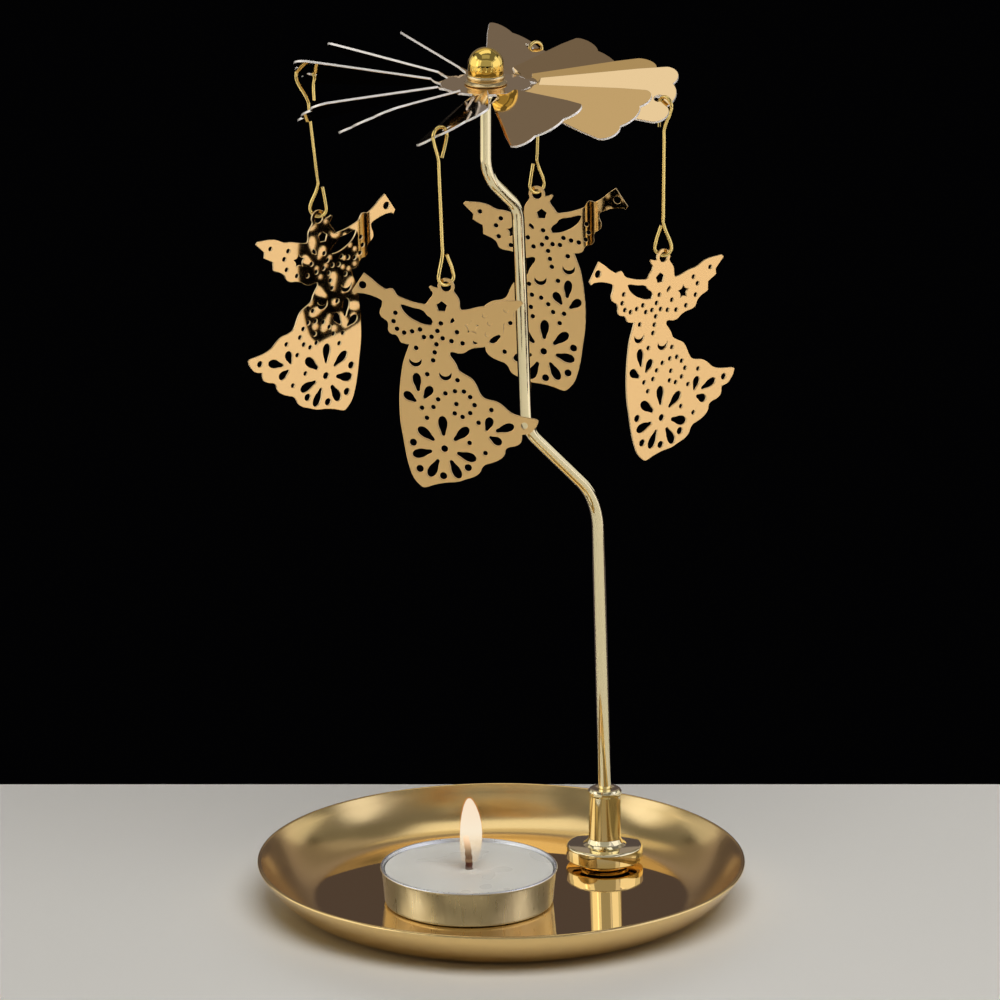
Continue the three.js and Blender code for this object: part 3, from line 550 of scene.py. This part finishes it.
def onVane(k, point):
    # Where a point of the flat vane lands once the vane is twisted and bent at its neck
    aside, twist, droop = [math.radians(v) for v in blade["bends"][k]]
    way = min(1, max(0, (point.x - blade["disc"]) / (blade["rootReach"] - blade["disc"])))
    root = Vector((blade["disc"], 0, 0))
    place = Matrix.Rotation(twist * way, 3, "X") @ point - root
    place = Matrix.Rotation(droop * way, 3, "Y") @ place + root
    turn = math.radians(blade["firstTurn"] + 30 * k) + aside * way
    return Matrix.Rotation(turn, 3, "Z") @ place


def lobe(a, crown, b, steps=6):
    # Points of the arc from a to b by way of the crown
    ax, ay = a
    mx, my = crown[0] - ax, crown[1] - ay
    bx, by = b[0] - ax, b[1] - ay
    cross = 2 * (mx * by - my * bx)
    cx = (by * (mx * mx + my * my) - my * (bx * bx + by * by)) / cross
    cy = (mx * (bx * bx + by * by) - bx * (mx * mx + my * my)) / cross
    start = math.atan2(-cy, -cx)
    through = (math.atan2(my - cy, mx - cx) - start) % (2 * math.pi)
    sweep = (math.atan2(by - cy, bx - cx) - start) % (2 * math.pi)
    if through > sweep:
        sweep -= 2 * math.pi
    radius = math.hypot(cx, cy)
    turns = [start + sweep * i / steps for i in range(1, steps)]
    return [(ax + cx + radius * math.cos(turn), ay + cy + radius * math.sin(turn)) for turn in turns]


def makeVane(k):
    b = blade
    corner, lowCorner = (b["cornerReach"], b["corner"]), (b["cornerReach"], -b["corner"])
    notch, lowNotch = (b["notchReach"], b["notch"]), (b["notchReach"], -b["notch"])
    start, reach = b["disc"] - b["overlap"], b["rootReach"]
    flare = (reach - b["neckStep"], b["neck"] + b["neckFlare"])
    side = [(start, b["neck"]), (reach - b["neckEnd"], b["neck"]), flare]
    outline = [
        *[(x, -y) for x, y in side], (reach, -b["root"]),
        lowCorner, *lobe(lowCorner, (b["crownReach"], -b["crown"]), lowNotch),
        lowNotch, *lobe(lowNotch, (b["tipReach"], 0), notch),
        notch, *lobe(notch, (b["crownReach"], b["crown"]), corner), corner,
        (reach, b["root"]), *side[::-1],
    ]
    outlines = [outline]
    if k in b["hung"]:
        outlines.append(ringOutline(*b["hole"], b["holeRadius"]))
    bm = sheetMesh(outlines, wheel["sheet"], b["edge"], 3)
    markEdges(bm)
    # Strips for the twisted neck, and one beyond it that keeps the vane's face flat
    for i in range(b["neckStrips"] + 2):
        cut = b["disc"] + (reach - b["disc"]) * i / b["neckStrips"]
        parts = bm.verts[:] + bm.edges[:] + bm.faces[:]
        bmesh.ops.bisect_plane(bm, geom=parts, plane_co=(cut, 0, 0), plane_no=(1, 0, 0), dist=1e-5)
    for vert in bm.verts:
        vert.co = onVane(k, vert.co)
    return bm


def makeWheel():
    half = wheel["sheet"] / 2
    edge, rim, bore = blade["edge"], blade["disc"], blade["discBore"]
    whole = bmesh.new()
    profile = [
        (bore, -half), (rim - edge, -half), (rim, -half + edge), (rim, half - edge), (rim - edge, half), (bore, half),
        (bore, -half),
    ]
    spinProfile(whole, profile, 96)
    markEdges(whole)
    for k in range(blade["count"]):
        vane = makeVane(k)
        mesh = bpy.data.meshes.new("vane")
        vane.to_mesh(mesh)
        vane.free()
        whole.from_mesh(mesh)
        bpy.data.meshes.remove(mesh)
    bmesh.ops.translate(whole, vec=(wheel["x"], wheel["y"], wheel["height"]), verts=whole.verts)
    return whole


keep("vaneWheel", makeWheel(), [vaneGold, cutEdge], "carousel", ["vane_wheel"], 20)
print("wheel made")


# Four hooks, each bent from one wire
hook = {
    "wire": 0.375, "topLoop": 1.9, "lowLoop": 1.75, "neck": 5.25, "freeAside": 0.95, "freeDrop": 4.7,
    "down": 1.1, "turn": -38, "drop": 32.5, "out": 1.95,
    # The low point is in shares of the drop, necks and splay are in shares of a loop, and turns are in degrees
    "hangers": [
        {
            "vane": 6, "low": (0.033, 0.054, -0.9705), "lowTurn": -5, "topNeck": -0.3, "lowNeck": 0, "splay": 0.2,
            "turn": -20, "topLoop": 2.3, "out": 1.7,
        },
        {"vane": 9, "low": (-0.008, -0.019, -1.0135), "lowTurn": 26, "topNeck": 0.21, "lowNeck": 0.46, "splay": 0},
        {
            "vane": 3, "low": (0.0535, 0.034, -0.9925), "lowTurn": 208, "topNeck": 0.68, "lowNeck": 0, "splay": 0,
            "out": 1.8,
        },
        {
            "vane": 0, "low": (0.0315, 0.003, -1.038), "lowTurn": 178, "topNeck": -0.16, "lowNeck": 0, "splay": -0.21,
            "lowAside": 0.45,
        },
    ],
}


def loopPoints(middle, turn, radius, up, neckShare, splayShare, freeAside):
    # From the neck round the loop to the wire's free end
    along = Vector((math.cos(turn), math.sin(turn), 0))
    neck = neckShare * radius
    touch = math.asin(radius / hook["neck"])
    points = [middle + along * neck + Vector((0, 0, -hook["neck"] * up))]
    for i in range(9):
        a = -touch + (math.pi + 2 * touch) * i / 8
        points.append(middle + along * radius * math.cos(a) + Vector((0, 0, up * radius * math.sin(a))))
    end = middle + along * (neck - freeAside) + Vector((splayShare * radius, 0, -hook["freeDrop"] * up))
    return points + [end]


def lowWire(hanger):
    # The vane's hole and the wire's low point, where the figure hangs
    hole = onVane(hanger["vane"], Vector((*blade["hole"], 0))) + Vector((wheel["x"], wheel["y"], wheel["height"]))
    return hole, hole + Vector(hanger["low"]) * hook["drop"]


for number, hanger in enumerate(hook["hangers"], 1):
    hole, low = lowWire(hanger)
    topTurn = math.radians(blade["firstTurn"] + 30 * hanger["vane"] + hanger.get("turn", hook["turn"]))
    topLoop = hanger.get("topLoop", hook["topLoop"])
    out = hanger.get("out", hook["out"])
    top = hole + Vector((out * math.cos(topTurn), out * math.sin(topTurn), -hook["down"]))
    lowMiddle = low + Vector((0, 0, hook["lowLoop"]))
    upper = loopPoints(top, topTurn, topLoop, 1, hanger["topNeck"], hanger["splay"], hook["freeAside"])
    lowTurn = math.radians(hanger["lowTurn"]) + math.pi
    lowAside = hanger.get("lowAside", hook["freeAside"])
    lower = loopPoints(lowMiddle, lowTurn, hook["lowLoop"], -1, hanger["lowNeck"], 0, lowAside)
    stem = [upper[0].lerp(lower[0], share) for share in (0.08, 0.5, 0.92)]
    bm = wireMesh([*upper[::-1], *stem, *lower], hook["wire"], sides=4, steps=5)
    keep(f"hangerHook_{number}", bm, [wireGold], f"hanger {number}", [f"hanger_hook_{number}"], 60)
print("hooks made")


# Four figures of one pattern, pierced and cut from sheet
angel = {
    "height": 43.5, "sheet": 0.4, "edge": 0.05, "ring": 1.8, "ringHole": 1.1, "hang": 0.36,
    "turns": [(217.1, 1.2), (-13.1, -1.05), (165.2, 0.9), (38.8, -1.05)],  # turn and lean in degrees
    # outline in shares of the height, from the ring's left side round by trumpet, gown, train and wing
    "outline": [
        (-0.057, -0.006), (-0.075, 0.002), (-0.083, -0.005), (-0.075, -0.020), (-0.066, -0.033), (-0.069, -0.046),
        (-0.085, -0.067), (-0.096, -0.083), (-0.105, -0.091), (-0.125, -0.089), (-0.168, -0.081), (-0.210, -0.067),
        (-0.236, -0.056), (-0.246, -0.046), (-0.253, -0.033), (-0.263, -0.021), (-0.278, -0.021), (-0.295, -0.025),
        (-0.308, -0.019), (-0.338, 0.001), (-0.367, 0.026), (-0.402, 0.051), (-0.462, -0.039), (-0.451, -0.057),
        (-0.434, -0.049), (-0.323, -0.076), (-0.314, -0.085), (-0.317, -0.108), (-0.326, -0.130),
        (-0.325, -0.154), (-0.308, -0.171), (-0.293, -0.181), (-0.287, -0.203), (-0.288, -0.225), (-0.276, -0.242),
        (-0.250, -0.249), (-0.237, -0.264), (-0.229, -0.281), (-0.212, -0.289), (-0.186, -0.292), (-0.198, -0.325),
        (-0.217, -0.380), (-0.229, -0.447), (-0.238, -0.526), (-0.240, -0.573), (-0.238, -0.663), (-0.225, -0.753),
        (-0.211, -0.843), (-0.193, -0.913), (-0.177, -0.952), (-0.148, -0.986), (-0.129, -0.998), (-0.114, -0.996),
        (-0.079, -0.984), (-0.019, -0.970), (0.040, -0.963), (0.080, -0.949), (0.130, -0.929), (0.150, -0.910),
        (0.158, -0.892), (0.176, -0.873), (0.201, -0.864), (0.246, -0.844), (0.271, -0.819), (0.277, -0.794),
        (0.287, -0.784), (0.332, -0.770), (0.352, -0.754), (0.358, -0.716), (0.398, -0.706), (0.418, -0.687),
        (0.436, -0.658), (0.440, -0.643), (0.429, -0.636), (0.395, -0.631), (0.331, -0.619), (0.302, -0.606),
        (0.263, -0.573), (0.234, -0.557), (0.195, -0.549), (0.170, -0.538), (0.156, -0.519), (0.142, -0.487),
        (0.120, -0.452), (0.095, -0.436), (0.073, -0.424), (0.054, -0.410), (0.044, -0.386), (0.028, -0.360),
        (0.013, -0.337), (0.014, -0.324), (0.025, -0.321), (0.055, -0.327), (0.085, -0.322), (0.107, -0.307),
        (0.133, -0.297), (0.193, -0.283), (0.214, -0.248), (0.276, -0.216), (0.278, -0.172), (0.329, -0.145),
        (0.326, -0.117), (0.377, -0.067), (0.366, -0.055), (0.264, -0.062), (0.205, -0.087), (0.166, -0.092),
        (0.134, -0.100), (0.104, -0.109), (0.073, -0.113), (0.067, -0.104), (0.065, -0.089), (0.064, -0.067),
        (0.054, -0.046), (0.042, -0.030),
    ],
    "sleeve": [
        (-0.226, -0.100), (-0.220, -0.097), (-0.168, -0.110), (-0.113, -0.124), (-0.098, -0.143), (-0.077, -0.159),
        (-0.068, -0.177), (-0.076, -0.194), (-0.110, -0.191), (-0.149, -0.177), (-0.187, -0.155), (-0.216, -0.124),
    ],
    "head": (-0.023, -0.100, 0.0275),
    "slit": [(0.016, -0.178), (0.020, -0.162), (0.038, -0.148), (0.046, -0.163), (0.026, -0.180)],
    "star": (0.122, -0.195, 0.036, 0.021),
    "crescents": [(-0.1575, -0.36), (-0.012, -0.422)],
    "crescent": (0.030, 0.042, 0.021),
    "dots": [
        (-0.251, -0.14), (-0.261, -0.182), (-0.245, -0.219), (-0.21, -0.236), (-0.171, -0.228), (-0.132, -0.217),
        (-0.114, -0.254), (-0.076, -0.251), (-0.047, -0.221), (-0.029, -0.183), (-0.022, -0.256), (0.049, -0.223),
        (0.021, -0.268), (0.075, -0.277), (0.137, -0.267), (-0.053, -0.287), (-0.062, -0.327), (-0.071, -0.367),
        (-0.153, -0.309), (-0.101, -0.437), (0.047, -0.46), (0.033, -0.515), (0.077, -0.515), (-0.014, -0.528),
        (-0.05, -0.559), (-0.074, -0.598), (-0.13, -0.604), (-0.107, -0.653), (0.107, -0.541), (0.128, -0.58),
        (0.039, -0.578), (0.03, -0.625), (0.068, -0.641), (0.106, -0.62), (0.21, -0.6), (0.146, -0.666),
        (0.1, -0.768), (0.177, -0.815), (0.292, -0.103), (0.186, -0.133), (0.211, -0.17), (0.198, -0.225),
    ],
    "dotRadius": 0.0122,
    "bigDots": [
        (-0.023, -0.802, 0.0175), (-0.176, -0.777, 0.0185), (-0.146, -0.906, 0.0185), (-0.031, -0.937, 0.0185),
        (0.091, -0.891, 0.0185), (0.371, -0.67, 0.0165), (-0.409, -0.009, 0.0195),
    ],
    "flower": {
        "at": (-0.023, -0.802), "inner": 0.062, "turns": (93, 42, -17, -63, -119, -167, 142), "length": 0.1,
        "width": 0.046,
    },
    "sprigWidth": 0.92,  # of a flower's petal
    "sprigs": [  # from the pointed end to the round one
        (-0.146, -0.524, -0.156, -0.432), (-0.120, -0.558, -0.080, -0.497), (-0.157, -0.575, -0.217, -0.531),
        (0.183, -0.705, 0.207, -0.637), (0.229, -0.705, 0.320, -0.673), (0.197, -0.733, 0.258, -0.765),
    ],
}


def petal(x, y, endX, endY, width):
    # A drop-shaped hole from its point to its round end
    way = Vector((endX - x, endY - y))
    across = Vector((-way.y, way.x)).normalized() * width
    shares = [(0, 0), (0.28, -0.31), (0.62, -0.5), (0.9, -0.36), (1, 0), (0.9, 0.36), (0.62, 0.5), (0.28, 0.31)]
    return [tuple(Vector((x, y)) + way * a + across * b) for a, b in shares]


def crescent(x, y):
    half, drop, thick = angel["crescent"]
    low = lobe((x - half, y), (x, y - drop), (x + half, y), 6)
    high = lobe((x + half, y), (x, y - drop + thick), (x - half, y), 6)
    return [(x - half, y), *low, (x + half, y), *high]


def angelOutlines():
    a = angel
    ring = [(p[0] / a["height"], p[1] / a["height"]) for p in arcPoints(0, 0, a["ring"], -26, 192, 12)]
    x, y, *reaches = a["star"]
    star = [ringOutline(x, y, reaches[i % 2], 1, math.radians(90 + 36 * i))[0] for i in range(10)]
    outlines = [
        a["outline"] + ring, ringOutline(0, 0, a["ringHole"] / a["height"], 8), a["sleeve"],
        ringOutline(*a["head"], 5, math.radians(90)), a["slit"], star,
    ]
    outlines += [crescent(x, y) for x, y in a["crescents"]]
    outlines += [ringOutline(x, y, a["dotRadius"]) for x, y in a["dots"]]
    outlines += [ringOutline(x, y, radius) for x, y, radius in a["bigDots"]]
    flower = a["flower"]
    for turn in flower["turns"]:
        way = Vector((math.cos(math.radians(turn)), math.sin(math.radians(turn))))
        start = Vector(flower["at"]) + way * flower["inner"]
        outlines.append(petal(*start, *(start + way * flower["length"]), flower["width"]))
    outlines += [petal(*ends, flower["width"] * a["sprigWidth"]) for ends in a["sprigs"]]
    return [[(x * a["height"], y * a["height"]) for x, y in outline] for outline in outlines]


for number, (hanger, (turn, lean)) in enumerate(zip(hook["hangers"], angel["turns"]), 1):
    bm = sheetMesh(angelOutlines(), angel["sheet"], angel["edge"], 4)
    markEdges(bm)
    for angle, axis in ((90, "X"), (lean, "Y"), (turn, "Z")):
        rotation = Matrix.Rotation(math.radians(angle), 3, axis)
        bmesh.ops.rotate(bm, cent=(0, 0, 0), matrix=rotation, verts=bm.verts)
    hole, low = lowWire(hanger)
    bmesh.ops.translate(bm, vec=low - Vector((0, 0, angel["hang"])), verts=bm.verts)
    looks = [figureGold, platedEdge]
    keep(f"trumpetAngel_{number}", bm, looks, f"figure {number}", [f"angel_{number}"], 20)
print("angels made")


candle = {
    "x": -6.9, "y": -3.73, "base": 0.95, "radius": 18.7, "foot": 18.1, "height": 8.0, "wall": 0.4, "rim": 0.3,
    "rimOut": 0.02,
    # the cup's foot from its middle outwards: in from the foot's radius, with heights
    "footForm": [(2.6, 0.25), (2.0, 0.0), (0.7, 0.0), (0.2, 0.2), (0, 0.7)],
    "wallTop": 0.75, "innerTop": 0.7, "innerFoot": 0.8, "innerFootIn": 0.9,
}
wax = {
    "top": 7.2, "dip": 0.5, "melt": 7.0, "rise": 0.55, "riseReach": 0.8, "sideGap": 0.2, "wickGap": 0.12,
    "edgeIn": (0.05, 0.5), "edgeUp": (0.12, 0.02), "rings": 14,
    # round the wick's foot plate, from below its collar to the cup's floor
    "room": [(1.6, 3.2), (1.6, 0.95), (6.2, 0.95), (6.2, 0.45)], "footIn": 0.6,
}
wick = {
    "radius": 0.8, "skin": 0.04, "rise": 7.8, "lean": 0.7, "low": (0.6, 3), "charFrom": 10.5, "charLength": 5,
    "thinning": 0.22, "ragged": 0.07, "raggedTwist": 4.2, "raggedTurns": 3, "charBase": 7.8, "charTip": 15.4,
    "path": [(0, 0.1), (0.1, 0.4), (0.4, 0.7), (1, 1)],  # shares of the lean and of the rise
}
place = (candle["x"], candle["y"])


def makeCup():
    c = candle
    foot, top, wall = c["foot"], c["height"], c["wall"]
    footForm = [(foot - inward, height) for inward, height in c["footForm"]]
    rim = arcPoints(c["radius"] + c["rimOut"], top - c["rim"], c["rim"], -70, 200, 12)
    profile = [
        (0, c["footForm"][0][1]), *footForm, (c["radius"] - c["rimOut"], top - c["wallTop"]), *rim,
        (c["radius"] - wall, top - c["innerTop"]), (foot - wall, c["innerFoot"]), (foot - c["innerFootIn"], wall),
        (0, wall),
    ]
    bm = bmesh.new()
    spinProfile(bm, profile, 128, place)
    bmesh.ops.translate(bm, vec=(0, 0, c["base"]), verts=bm.verts)
    return bm


def makeWax():
    room = wick["radius"] + wax["wickGap"]
    side = candle["radius"] - candle["wall"] - wax["sideGap"]
    skin = [(side - inward, wax["top"] + up) for inward, up in zip(wax["edgeIn"], wax["edgeUp"])]
    start = side - wax["edgeIn"][1]
    for i in range(1, wax["rings"] + 1):
        radius = start - (start - room) * i / wax["rings"]
        hollow = wax["dip"] * (0.5 + 0.5 * math.cos(math.pi * min(1, radius / wax["melt"])))
        rise = wax["rise"] * math.exp(-((radius - room) / wax["riseReach"]) ** 2)  # wax drawn up round the wick
        skin.append((radius, wax["top"] - hollow + rise))
    inside = wax["room"]
    floor = (candle["foot"] - wax["footIn"], inside[-1][1])
    bm = bmesh.new()
    spinProfile(bm, [(room, inside[0][1]), *inside, floor, *skin, (room, inside[0][1])], 96, place)
    bmesh.ops.translate(bm, vec=(0, 0, candle["base"]), verts=bm.verts)
    return bm


def makeWick():
    x, y = place
    base, foot = candle["base"], candle["base"] + wax["top"] - wax["dip"]
    points = [(x, y, base + height) for height in wick["low"]]
    points += [(x - wick["lean"] * lean, y, foot + wick["rise"] * rise) for lean, rise in wick["path"]]
    bm = wireMesh(points, wick["radius"] - wick["skin"], sides=5, steps=6)
    for vert in bm.verts:  # the charred end is thinner and ragged
        high = max(0, (vert.co.z - wick["charFrom"]) / wick["charLength"])
        axis = Vector((x - wick["lean"] * high * high, y, vert.co.z))
        around = math.atan2(vert.co.y - axis.y, vert.co.x - axis.x)
        ragged = wick["ragged"] * math.sin(vert.co.z * wick["raggedTwist"] + wick["raggedTurns"] * around)
        vert.co = axis + (vert.co - axis) * (1 - wick["thinning"] * high + ragged)
    return bm


keep("tealightCup", makeCup(), [cupFoil()], "tealight", ["tealight_cup"], 50)
keep("candleWax", makeWax(), [paraffin()], "tealight", ["candle_wax"], 60)
cotton = charredCotton(wick["charBase"], wick["charTip"])
keep("candleWick", makeWick(), [cotton], "tealight", ["wick"], 60)

flame = {
    "bottom": 10.2, "top": 24.0, "lean": 0.3, "aside": 0.15, "sway": 1.1, "middle": 16, "halfHeight": 8,
    "mouth": 1.15, "mouthRise": 0.5, "tip": 0.12, "skin": 0.22,
    "widths": [  # heights with the flame's radius there
        (10.2, 1.5), (11.0, 1.85), (12.5, 2.15), (14.5, 2.35), (16.5, 2.35), (18.5, 2.2), (20.5, 1.85), (22.2, 1.35),
        (23.3, 0.85), (23.9, 0.4),
    ],
}


def makeFlame(name, grow, material):
    # A layer that grows by so many mm reaches further up and down as well
    rings = []
    for height, width in flame["widths"]:
        rings.append((width + grow, height + grow * (height - flame["middle"]) / flame["halfHeight"]))
    bm = bmesh.new()
    mouth, tip = (flame["mouth"], rings[0][1] + flame["mouthRise"]), (0, rings[-1][1] + flame["tip"])
    spinProfile(bm, [mouth, *rings, tip], 48)
    for vert in bm.verts:  # the flame follows the wick's lean and sways back at its tip
        up = (vert.co.z - flame["bottom"]) / (flame["top"] - flame["bottom"])
        vert.co.x += candle["x"] + flame["aside"] + flame["lean"] * math.sin(math.pi * up * flame["sway"])
        vert.co.y += candle["y"]
    keep(name, bm, [material], "tealight")


# The flame's body is a pale warm white, and its thin skin turns orange towards the tip
flameCore = flameGlow("flameCore", 11.0, 17.5, "#ffdca6", "#fcf2da", 0.97, 0.05, 0.95)
flameRim = flameGlow("flameRim", 11.0, 23.0, "#ffd49a", "#ff9020", 1.0, 0.04, 0.16)
makeFlame("flameInside", 0.0, flameCore)
makeFlame("flameSkin", flame["skin"], flameRim)
print("tealight made")

# The pieces that nothing shows keep their solids
for hidden in ("socket_screw", "pivot_needle", "wick_sustainer"):
    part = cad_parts[hidden]
    if not part.material_slots:
        part.data.materials.append(steel)
    for space in part.material_slots:
        space.material = steel


# The stage is a pale table whose far edge stands before the dark
def stageTable():
    table = {"width": 2600, "front": -1500, "back": 79.7, "thick": 25}
    bm = bmesh.new()
    bmesh.ops.create_cube(bm, size=1)
    size = (table["width"] * mm, (table["back"] - table["front"]) * mm, table["thick"] * mm)
    bmesh.ops.scale(bm, vec=size, verts=bm.verts)
    middle = (0, (table["back"] + table["front"]) / 2 * mm, -table["thick"] / 2 * mm)
    bmesh.ops.translate(bm, vec=middle, verts=bm.verts)
    mesh = bpy.data.meshes.new("table")
    bm.to_mesh(mesh)
    bm.free()
    # Painted board, matt and pale, with a fine grain
    material, tree, shader = newMaterial("paintedBoard", Base_Color=colour("#d8d6d1"), Roughness=0.55)
    speck = noise(tree, objectPlace(tree), 1.5, 3.0)
    tree.links.new(bump(tree, speck, 0.15, 0.05), shader.inputs["Normal"])
    mesh.materials.append(material)
    board = bpy.data.objects.new("table", mesh)
    scene.collection.objects.link(board)
    board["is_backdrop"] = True


def panel(name, place, aim, size, brightness, tint="#ffffff", fills=False):
    # A soft panel of light; its brightness is what a mirror would show of it. The panels that fill light
    # only what is dull, such as the table and the wax, and the others are seen only in the metals
    light = bpy.data.lights.new(name, "AREA")
    light.shape = "RECTANGLE"
    light.size, light.size_y = size[0] * mm, size[1] * mm
    light.energy = brightness * math.pi * light.size * light.size_y
    light.color = colour(tint)[:3]
    lamp = bpy.data.objects.new(name, light)
    lamp.location = Vector(place) * mm
    lamp.rotation_euler = (Vector(aim) - Vector(place)).to_track_quat("-Z", "Y").to_euler()
    lamp.visible_camera = False
    lamp.visible_glossy = not fills
    lamp.visible_diffuse = fills
    scene.collection.objects.link(lamp)


stageTable()
panel("tableFill", (170, -480, 900), (170, -480, 0), (900, 600), 5.5, "#fffefc", fills=True)
panel("backFill", (0, 700, 330), (0, 0, 0), (900, 200), 3.4, "#fffefc", fills=True)
panel("leftFill", (-600, -60, 110), (0, -60, 0), (500, 160), 0.8, "#ffe2be", fills=True)
panel("rightFill", (600, -60, 110), (0, -60, 0), (500, 160), 0.8, "#ffe2be", fills=True)
panel("ceiling", (0, -100, 1750), (0, 0, 0), (5600, 3600), 0.16)
panel("overhead", (-60, 250, 1000), (0, 0, 150), (800, 420), 0.85)
panel("highBack", (-120, 420, 640), (-120, 0, 560), (560, 320), 0.5, "#ffefc8")
panel("midBack", (0, 430, 313), (0, 0, 313), (900, 296), 0.2, "#fff2ea")
panel("rightBack", (330, 425, 570), (330, 0, 520), (300, 220), 0.2, "#fff2ea")
panel("lowBack", (0, 90, 25), (0, 0, 25), (620, 46), 0.085, "#ffe8f1")
panel("rightWall", (285, -160, 200), (0, -160, 200), (480, 400), 0.42, "#e6e6ff")
panel("leftWall", (-400, -60, 260), (0, -60, 260), (480, 520), 0.5, "#fffaf0")
panel("rightHigh", (650, 30, 650), (0, 0, 0), (300, 180), 0.75, "#e0e8ff")
panel("leftHigh", (-650, 30, 650), (0, 0, 0), (300, 180), 1.0, "#d8e2ff")
panel("frontHigh", (0, -330, 1000), (0, 0, 0), (700, 420), 0.25)
panel("frontWall", (0, -1500, 760), (0, 0, 100), (3000, 1200), 0.36)
panel("frontLeft", (-1250, -1100, 760), (0, 0, 200), (900, 1300), 0.6)
panel("rightSide", (1500, 0, 500), (0, 0, 500), (2800, 1000), 0.7)
panel("leftSide", (-1500, 0, 500), (0, 0, 500), (2800, 1000), 0.6)
# The flame's own light is faint beside the studio's
glow = bpy.data.objects.new("flameLight", bpy.data.lights.new("flameLight", "POINT"))
glow.data.energy = 0.0006
glow.data.color = colour("#ffb060")[:3]
glow.data.shadow_soft_size = 2.5 * mm
glow.location = Vector((candle["x"] - 0.5, candle["y"], 18)) * mm
scene.collection.objects.link(glow)

world = bpy.data.worlds.new("darkRoom")
world.use_nodes = True
world.node_tree.nodes["Background"].inputs["Color"].default_value = colour("#08080a")
world.node_tree.nodes["Background"].inputs["Strength"].default_value = 0.3
scene.world = world
scene.view_settings.view_transform = "Standard"
print("stage set")

low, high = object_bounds()
